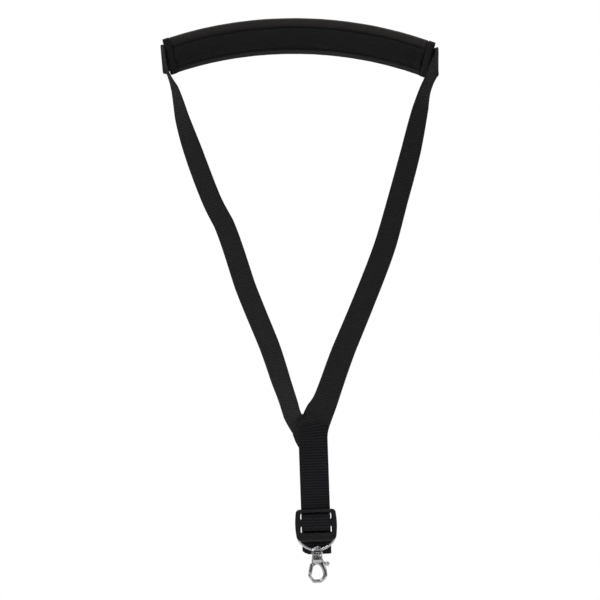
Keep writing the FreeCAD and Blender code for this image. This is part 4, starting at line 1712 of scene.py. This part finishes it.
@dataclass
class Junction:
    """The doubled top of the drop strap, sewn over both straps' ends, and the drop strap itself."""

    wardrobe: Wardrobe
    ribs: RibRecipe
    stitches: StitchRecipe
    band: Band = field(default_factory=lambda: Band(wander=0.0))
    front: float = -24.0
    fold: float = -334.5
    pitch: float = 1.5
    low: float = -356.8
    join: float = -360.8
    slider_top: float = -406.8
    behind_slider: float = -21.1
    travel: float = 44.0
    rib_slant: float = 0.13
    slant_fade: float = 14.0

    def build(self) -> list[bpy.types.Object]:
        """Builds the doubled top, its stitching and the drop strap.

        Returns:
            The finished pieces.
        """
        return [self.doubled_top(), self.stitching(), self.drop()]

    def doubled_top(self) -> bpy.types.Object:
        """The top of the drop strap, folded back on itself."""
        radius = self.pitch / 2 - 0.01
        path = side_path(
            [(self.front, self.join), (self.front, self.fold), (self.front + self.pitch, self.fold),
             (self.front + self.pitch, self.low)],
            (radius, radius),
        )
        fold_run = self.fold - self.join

        def slant(run: float, across: float) -> float:
            """Shift of the ribs, strongest at the fold."""
            fade = max(0.0, 1.0 - abs(fold_run - run) / self.slant_fade)
            return across * self.rib_slant * fade

        plain = self.band.build("drop_top_webbing", path, slant=slant)
        raised = self.ribs.apply(plain, self.wardrobe.drop_webbing, Height=self.band.rib_height * MM)
        return dress(raised, self.wardrobe.drop_webbing, Body.STRAP, ["drop_strap_top"])

    def stitching(self) -> bpy.types.Object:
        """The box of stitches through the junction."""
        middle = self.fold + 0.7 - 12.5
        depth = self.front - self.band.thickness / 2 - 0.04
        points = [Vector((x, depth, middle + z)) for x, z in box_stitches(20.0, 17.0)]
        edges = [(i, i + 1) for i in range(0, len(points), 2)]
        row = polyline("junction_threads", points, edges)
        made = self.stitches.apply(
            row, self.wardrobe.thread, Pitch=2.5 * MM, Length=2.0 * MM, Thickness=0.34 * MM
        )
        return dress(made, self.wardrobe.thread, Body.STRAP, ["junction_stitching"])

    def drop(self) -> bpy.types.Object:
        """The drop strap, from the junction down to behind the slider, on a mesh of its own."""
        top, end = self.join + 0.15, self.slider_top - 1.55
        path = side_path(
            [(self.front, top), (self.front, self.low - 16.0), (self.behind_slider, self.slider_top + 8.0),
             (self.behind_slider, end)],
            (40.0, 40.0),
        )
        plain = self.band.build("drop_webbing", path)
        raised = self.ribs.apply(plain, self.wardrobe.drop_webbing, Height=self.band.rib_height * MM)
        piece = dress(raised, self.wardrobe.drop_webbing, Body.STRAP, ["drop_strap"])
        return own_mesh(piece)


# ---------------------------------------------------------------- adjuster


@dataclass
class Adjuster:
    """The three-bar slider and the webbing threaded through it."""

    wardrobe: Wardrobe
    ribs: RibRecipe
    band: Band = field(default_factory=lambda: Band(wander=0.0))
    front: float = -24.0
    depth: float = 4.0
    half_width: float = 18.0
    end_half_width: float = 17.3
    top: float = -406.8
    low: float = -434.2
    top_bar: float = 3.2
    slot_height: float = 5.2
    centre_bar: float = 6.2
    slot_half: float = 13.3
    slot_pinch: Point2 = (0.7, 0.3)
    top_round: float = 3.4
    low_round: float = 4.8
    rim: float = 1.35

    def build(self) -> list[bpy.types.Object]:
        """Builds the slider and its webbing.

        Returns:
            The finished pieces.
        """
        return [self.slider(), self.webbing()]

    def slider(self) -> bpy.types.Object:
        """The moulded slider, a little wider at its middle."""
        end, wide = self.end_half_width, self.half_width
        high, low = self.top, self.low
        middle = (high + low) / 2
        share = 1 - math.sqrt(0.5)
        up, down = self.top_round, self.low_round
        right: list[Step] = [
            (end - down, low),
            ((end - share * down, low + share * down), (end, low + down)),
            ((wide, middle), (end, high - up)),
            ((end - share * up, high - share * up), (end - up, high)),
        ]
        left: list[Step] = [
            (-end + up, high),
            ((-end + share * up, high - share * up), (-end, high - up)),
            ((-wide, middle), (-end, low + down)),
            ((-end + share * down, low + share * down), (-end + down, low)),
        ]
        loops = [closed_outline([*right, *left], 0.3, 2)]
        slot_top = high - self.top_bar
        for pinch in self.slot_pinch:
            slot_low = slot_top - self.slot_height
            wide = self.slot_half
            corners = [(-wide, slot_low), (wide, slot_low), (wide, slot_low + 3.4), (wide - pinch, slot_top),
                       (-wide + pinch, slot_top), (-wide, slot_low + 3.4)]
            loops.append(closed_outline(corners, 0.25, 3))
            slot_top = slot_low - self.centre_bar
        shape = crisp(plate("slider_moulding", loops, self.front, self.depth, self.rim), 60.0)
        return dress(shape, self.wardrobe.moulding, Body.ADJUSTER, ["slider"])

    def webbing(self) -> bpy.types.Object:
        """The webbing through the slider, round the D-ring's bar and out as the free tail."""
        path = side_path(
            [
                (-21.1, -408.4), (-21.1, -410.55), (-28.4, -413.25), (-28.4, -423.3), (-21.1, -426.0),
                (-21.1, -432.1), (-16.7, -432.1), (-16.7, -425.88), (-26.9, -422.1), (-26.9, -414.45),
                (-17.7, -411.04), (-14.4, -417.2), (-13.9, -428.4), (-7.95, -446.8),
            ],
            (0.9, 1.5, 1.5, 0.9, 2.19, 2.19, 1.2, 0.85, 0.85, 1.8, 6.0, 20.0),
        )

        def cut(across: float) -> float:
            """Length cut off the tail; one corner is clipped."""
            return max(0.0, across - 8.5) * 0.75

        plain = self.band.build("threaded_webbing", path, cut=cut)
        raised = self.ribs.apply(plain, self.wardrobe.drop_webbing, Height=self.band.rib_height * MM)
        return dress(raised, self.wardrobe.drop_webbing, Body.ADJUSTER, ["adjuster_webbing"])


# ---------------------------------------------------------------- ring, eye and hook


@dataclass
class RingAndEye:
    """The D-ring, the swivel eye that hangs on it and the rivet through the eye's plate."""

    wardrobe: Wardrobe
    plane: float = -18.9
    wire: float = 1.4
    bar: float = -429.9
    bottom: float = -442.2
    corner: float = 2.5
    wide: float = 17.0
    eye_wire: float = 1.1
    eye_radius: float = 5.0
    eye_centre: float = -444.38
    eye_yaw: float = 42.0
    plate_radius: float = 5.6
    plate_top: float = -444.8
    plate_low: float = -446.1
    hole: float = 1.31

    def build(self) -> list[bpy.types.Object]:
        """Builds the ring, the eye and the rivet.

        Returns:
            The finished pieces.
        """
        return [self.ring(), self.eye(), self.rivet()]

    def ring(self) -> bpy.types.Object:
        """The D-ring's round wire."""
        arc_z = self.bottom + self.wide
        drop = arc_z - (self.bar - self.corner)
        corner_x = math.sqrt((self.wide - self.corner) ** 2 - drop**2)
        grow = self.wide / (self.wide - self.corner)
        touch = (corner_x * grow, arc_z - drop * grow)
        centre = (corner_x, self.bar - self.corner)
        turn = (math.pi / 2 + math.atan2(touch[1] - centre[1], touch[0] - centre[0])) / 2
        middle = (centre[0] + self.corner * math.cos(turn), centre[1] + self.corner * math.sin(turn))
        loop = closed_outline(
            [
                (corner_x, self.bar),
                (middle, touch),
                ((0.0, self.bottom), (-touch[0], touch[1])),
                ((-middle[0], middle[1]), (-corner_x, self.bar)),
            ],
            0.45,
        )
        wire = tube("d_ring_wire", [Vector((x, self.plane, z)) for x, z in loop], self.wire, closed=True)
        return dress(wire, self.wardrobe.chrome, Body.RING, ["d_ring"])

    def eye(self) -> bpy.types.Object:
        """The arch of wire on its round plate."""
        yaw = Matrix.Rotation(math.radians(self.eye_yaw), 3, "Z")
        line = [Vector((-self.eye_radius, 0.0, self.plate_top - 0.6))]
        count = 28
        for i in range(count + 1):
            turn = math.pi * (1 - i / count)
            height = self.eye_centre + self.eye_radius * math.sin(turn)
            line.append(Vector((self.eye_radius * math.cos(turn), 0.0, height)))
        line.append(Vector((self.eye_radius, 0.0, self.plate_top - 0.6)))
        shift = Vector((0.0, self.plane, 0.0))
        arch = tube("eye_arch", [yaw @ p + shift for p in line], self.eye_wire, closed=False)
        round_off = 0.35
        rim = [
            (self.hole, self.plate_low), (self.plate_radius - round_off, self.plate_low),
            (self.plate_radius, self.plate_low + round_off), (self.plate_radius, self.plate_top - round_off),
            (self.plate_radius - round_off, self.plate_top), (self.hole, self.plate_top),
            (self.hole, self.plate_low),
        ]
        disc = lathe("eye_disc", rim, (0.0, self.plane))
        piece = crisp(joined("swivel_eye_wire", [arch, disc]), 30.0)
        return dress(piece, self.wardrobe.chrome, Body.EYE, ["swivel_eye"])

    def rivet(self) -> bpy.types.Object:
        """The domed rivet that the hook turns on."""
        top, low = -443.85, -448.7
        dome = [
            (2.5 * math.sin(a), top - 0.62 + 0.62 * math.cos(a))
            for a in (0.05, 0.35, 0.7, 1.05, 1.35, 1.57)
        ]
        outline = [*dome, (2.5, -444.72), (1.24, -444.75), (1.24, low)]
        turned = crisp(lathe("rivet_turned", outline, (0.0, self.plane)), 45.0)
        return dress(turned, self.wardrobe.chrome, Body.HOOK, ["swivel_rivet"])


HOOK_OUTLINE: tuple[Step, ...] = (
    (-4.9, 20.0),
    (-5.0, 17.8),
    (-3.5, 17.6),
    ((-2.2, 16.4), (-0.6, 15.9)),
    ((1.2, 15.1), (2.9, 12.8)),
    ((4.1, 10.1), (4.6, 6.8)),
    ((3.3, 3.9), (0.0, 2.8)),
    ((-3.4, 3.4), (-5.4, 6.0)),
    (-8.1, 8.7),
    (-8.0, 5.3),
    (-5.4, 1.8),
    ((-4.7, 0.5), (-3.2, 0.0)),
    (2.6, 0.0),
    (5.8, 2.4),
    (8.2, 5.5),
    (8.2, 7.0),
    ((7.6, 11.6), (6.3, 15.6)),
    (5.0, 20.0),
)
LEVER_OUTLINE: tuple[Step, ...] = (
    (-0.4, 19.7),
    (-3.0, 18.8),
    (-6.0, 16.9),
    (-6.4, 14.0),
    (-3.6, 14.0),
    ((0.0, 16.2), (2.2, 17.4)),
    (8.6, 15.4),
    (8.6, 16.8),
    (2.2, 19.7),
)
ARM_OUTLINE: tuple[Step, ...] = (
    (-5.2, 17.2),
    (-6.2, 16.9),
    ((-7.1, 13.0), (-7.95, 9.15)),
    (-5.35, 6.55),
    ((-4.3, 11.0), (-3.3, 15.2)),
    (-3.9, 16.6),
)


@dataclass
class Hook:
    """The cast swivel hook with its sprung gate; heights are measured up from its lowest point."""

    wardrobe: Wardrobe
    plane: float = -18.9
    base: float = -470.7
    depth: float = 4.4
    rim: float = 1.15
    neck_rings: tuple[tuple[float, float, float], ...] = (
        (17.2, 4.6, 2.0),
        (18.2, 4.95, 2.5),
        (19.2, 5.0, 2.9),
        (20.4, 4.85, 3.0),
        (23.4, 4.3, 3.0),
        (24.1, 4.1, 2.85),
        (24.4, 3.6, 2.4),
    )
    slot_width: float = 2.2
    slot_low: float = 14.6
    slot_top: float = 21.8
    ball: Point2 = (8.6, 16.1)
    ball_radius: float = 1.95
    lever_depth: float = 1.9
    arm_depth: float = 3.4

    def build(self) -> list[bpy.types.Object]:
        """Builds the hook and its gate.

        Returns:
            The finished pieces.
        """
        return [self.casting(), self.gate()]

    def raised(self, steps: Sequence[Step], rounds: int) -> list[Point2]:
        """An outline lifted from hook heights to the frame, with softened corners."""
        return [(x, z + self.base) for x, z in closed_outline(steps, 0.3, rounds)]

    def casting(self) -> bpy.types.Object:
        """The hook's body: claw, spine and round neck."""
        claw = plate("hook_casting", [self.raised(HOOK_OUTLINE, 3)], self.plane, self.depth, self.rim)
        sides = 48
        points = []
        for height, half_x, half_y in self.neck_rings:
            for j in range(sides):
                turn = math.tau * j / sides
                x = math.copysign(abs(math.cos(turn)) ** 0.8, math.cos(turn)) * half_x
                y = math.copysign(abs(math.sin(turn)) ** 0.8, math.sin(turn)) * half_y
                points.append(Vector((x, self.plane + y, self.base + height)))
        neck = solid_object("hook_neck", points, grid_faces(len(self.neck_rings), sides))
        carved(claw, neck, "UNION")
        slot = self.block(
            "gate_slot",
            (-7.0, 10.0),
            (-self.slot_width / 2, self.slot_width / 2),
            (self.slot_low, self.slot_top),
        )
        carved(claw, slot, "DIFFERENCE")
        recess = self.block("neck_recess", (-2.0, 2.0), (-4.5, -2.55), (19.9, 22.5))
        carved(claw, recess, "DIFFERENCE")
        piece = crisp(claw, 42.0)
        return dress(piece, self.wardrobe.chrome, Body.HOOK, ["hook_body"])

    def block(self, name: str, xs: Point2, ys: Point2, heights: Point2) -> bpy.types.Object:
        """A cutting block in hook coordinates.

        Args:
            name: The object's name.
            xs: Its extent in X.
            ys: Its extent in Y from the hook's plane.
            heights: Its extent above the hook's lowest point.

        Returns:
            The block.
        """
        corners = [(xs[0], ys[0]), (xs[1], ys[0]), (xs[1], ys[1]), (xs[0], ys[1])]
        points = [Vector((x, self.plane + y, self.base + h)) for h in heights for x, y in corners]
        return solid_object(name, points, grid_faces(2, 4))

    def gate(self) -> bpy.types.Object:
        """The gate's arm, hub and thumb lever with its ball."""
        lever = plate("gate_lever_plate", [self.raised(LEVER_OUTLINE, 2)], self.plane, self.lever_depth, 0.45)
        arm = plate("gate_arm_plate", [self.raised(ARM_OUTLINE, 2)], self.plane, self.arm_depth, 0.8)
        x, height = self.ball
        rings = 18
        arc = [math.pi * i / rings for i in range(1, rings)]
        outline = [
            (self.ball_radius * math.sin(a), self.base + height + self.ball_radius * math.cos(a)) for a in arc
        ]
        knob = lathe("lever_knob", outline, (x, self.plane), 32)
        piece = crisp(joined("gate_casting", [lever, arm, knob]), 40.0)
        return dress(piece, self.wardrobe.chrome, Body.GATE, ["gate"])


def dress_kept_nodes(frame: dict[str, Any], wardrobe: Wardrobe) -> None:
    """Gives the pin and the spring, kept as they are, their own finishes.

    Args:
        wardrobe: The finishes.
    """
    for node, material in (("gate_pin", wardrobe.pin_steel), ("gate_spring", wardrobe.spring_steel)):
        thing = frame["nodes"][node]
        for slot in thing.material_slots:
            slot.material = material
        LOG.info("%s: kept, with %s", node, material.name)


# ---------------------------------------------------------------- stage, lights and camera


@dataclass
class Studio:
    """A plain pale floor, soft lights and the camera."""

    floor_z: float = -0.56
    floor_radius: float = 0.52
    target: tuple[float, float, float] = (-0.00705, -0.02, -0.2266)
    distance: float = 2.0
    lens: float = 139.3
    roll: float = -2.0
    white: Colour = (1.0, 1.0, 1.0)
    band_turns: Point2 = (5.0, 4.0)
    surround_strength: float = 0.95
    lamps: tuple[tuple[str, tuple[float, float, float], float, float], ...] = (
        ("key", (-0.9, -1.3, 0.9), 0.8, 9.6),
        ("fill", (1.4, -1.2, 0.1), 0.7, 3.0),
        ("top", (0.1, 0.2, 1.2), 0.7, 4.8),
        ("rim", (0.7, 1.3, 0.4), 0.7, 3.6),
    )

    def build(self) -> None:
        """Builds the floor, the lights, the sky and the camera."""
        bpy.context.scene.view_settings.view_transform = "Standard"
        self.floor()
        self.sky()
        for lamp in self.lamps:
            self.light(*lamp)
        self.camera()

    def floor(self) -> None:
        """The floor under the hanging strap."""
        sides = 96
        turns = [math.tau * i / sides for i in range(sides)]
        rim = [(self.floor_radius * math.cos(turn), self.floor_radius * math.sin(turn)) for turn in turns]
        mesh = bpy.data.meshes.new("floor")
        mesh.from_pydata([(x, y, self.floor_z) for x, y in rim], [], [tuple(range(sides))])
        ground = bpy.data.objects.new("floor", mesh)
        ground.data.materials.append(StageFinish("floor_paint", (0.93, 0.93, 0.93), 0.9).make())
        bpy.context.scene.collection.objects.link(ground)

    def sky(self) -> None:
        """A white surround that lights the strap most from above, with dark bands for the chrome."""
        world = bpy.data.worlds.new("surround")
        world.use_nodes = True
        bpy.context.scene.world = world
        board = NodeBoard(world.node_tree)
        plain = world.node_tree.nodes["Background"]
        plain.inputs["Color"].default_value = (*self.white, 1.0)
        plain.inputs["Strength"].default_value = 1.0
        place = board.add("ShaderNodeTexCoord").outputs["Generated"]
        split = board.add("ShaderNodeSeparateXYZ", {"Vector": place})
        rise = board.math("ADD", board.math("MULTIPLY", split.outputs["Z"], 0.5), 0.5)
        slope = board.math("ADD", board.math("MULTIPLY", split.outputs["X"], self.band_turns[0]),
                           board.math("MULTIPLY", split.outputs["Z"], self.band_turns[1]))
        band = board.math("POWER", board.math("ABSOLUTE", board.math("SINE", slope)), 3.0)
        tint = board.blend(board.math("MULTIPLY", rise, band), (0.012, 0.012, 0.014), (0.8, 0.8, 0.81))
        soft = board.add("ShaderNodeBackground", {"Color": tint, "Strength": self.surround_strength})
        seen = board.add("ShaderNodeLightPath").outputs["Is Camera Ray"]
        mix = board.add(
            "ShaderNodeMixShader",
            {0: seen, 1: soft.outputs["Background"], 2: plain.outputs["Background"]},
        )
        output = world.node_tree.nodes["World Output"]
        world.node_tree.links.new(mix.outputs["Shader"], output.inputs["Surface"])

    def light(self, name: str, place: tuple[float, float, float], size: float, power: float) -> None:
        """One soft square light that looks at the strap.

        Args:
            name: The light's name.
            place: Its place.
            size: Its side in metres.
            power: Its power in watts.
        """
        lamp = bpy.data.lights.new(name, "AREA")
        lamp.size = size
        lamp.energy = power
        thing = bpy.data.objects.new(name, lamp)
        thing.location = place
        aim = Vector(self.target) - Vector(place)
        thing.rotation_euler = aim.to_track_quat("-Z", "Y").to_euler()
        bpy.context.scene.collection.objects.link(thing)

    def camera(self) -> None:
        """The camera, straight in front of the strap."""
        lens = bpy.data.cameras.new("camera")
        lens.sensor_width = 36.0
        lens.lens = self.lens
        lens.clip_start = 0.05
        lens.clip_end = 50.0
        eye = bpy.data.objects.new("camera", lens)
        x, y, z = self.target
        turn = Matrix.Rotation(math.pi / 2, 4, "X") @ Matrix.Rotation(math.radians(self.roll), 4, "Z")
        eye.matrix_world = Matrix.Translation((x, y - self.distance, z)) @ turn
        bpy.context.scene.collection.objects.link(eye)
        bpy.context.scene.camera = eye


def main() -> None:
    """Builds the strap on its frame, piece by piece."""
    logging.basicConfig(level=logging.INFO, format="%(message)s")
    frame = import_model()
    wardrobe = Wardrobe()
    ribs, stitches, pile = RibRecipe(), StitchRecipe(), PileRecipe()
    NeckPad(wardrobe, ribs, stitches, pile).build()
    NeckStraps(wardrobe, ribs, stitches).build()
    Junction(wardrobe, ribs, stitches).build()
    Adjuster(wardrobe, ribs).build()
    RingAndEye(wardrobe).build()
    Hook(wardrobe).build()
    dress_kept_nodes(frame, wardrobe)
    Studio().build()


if __name__ == "__main__":
    main()
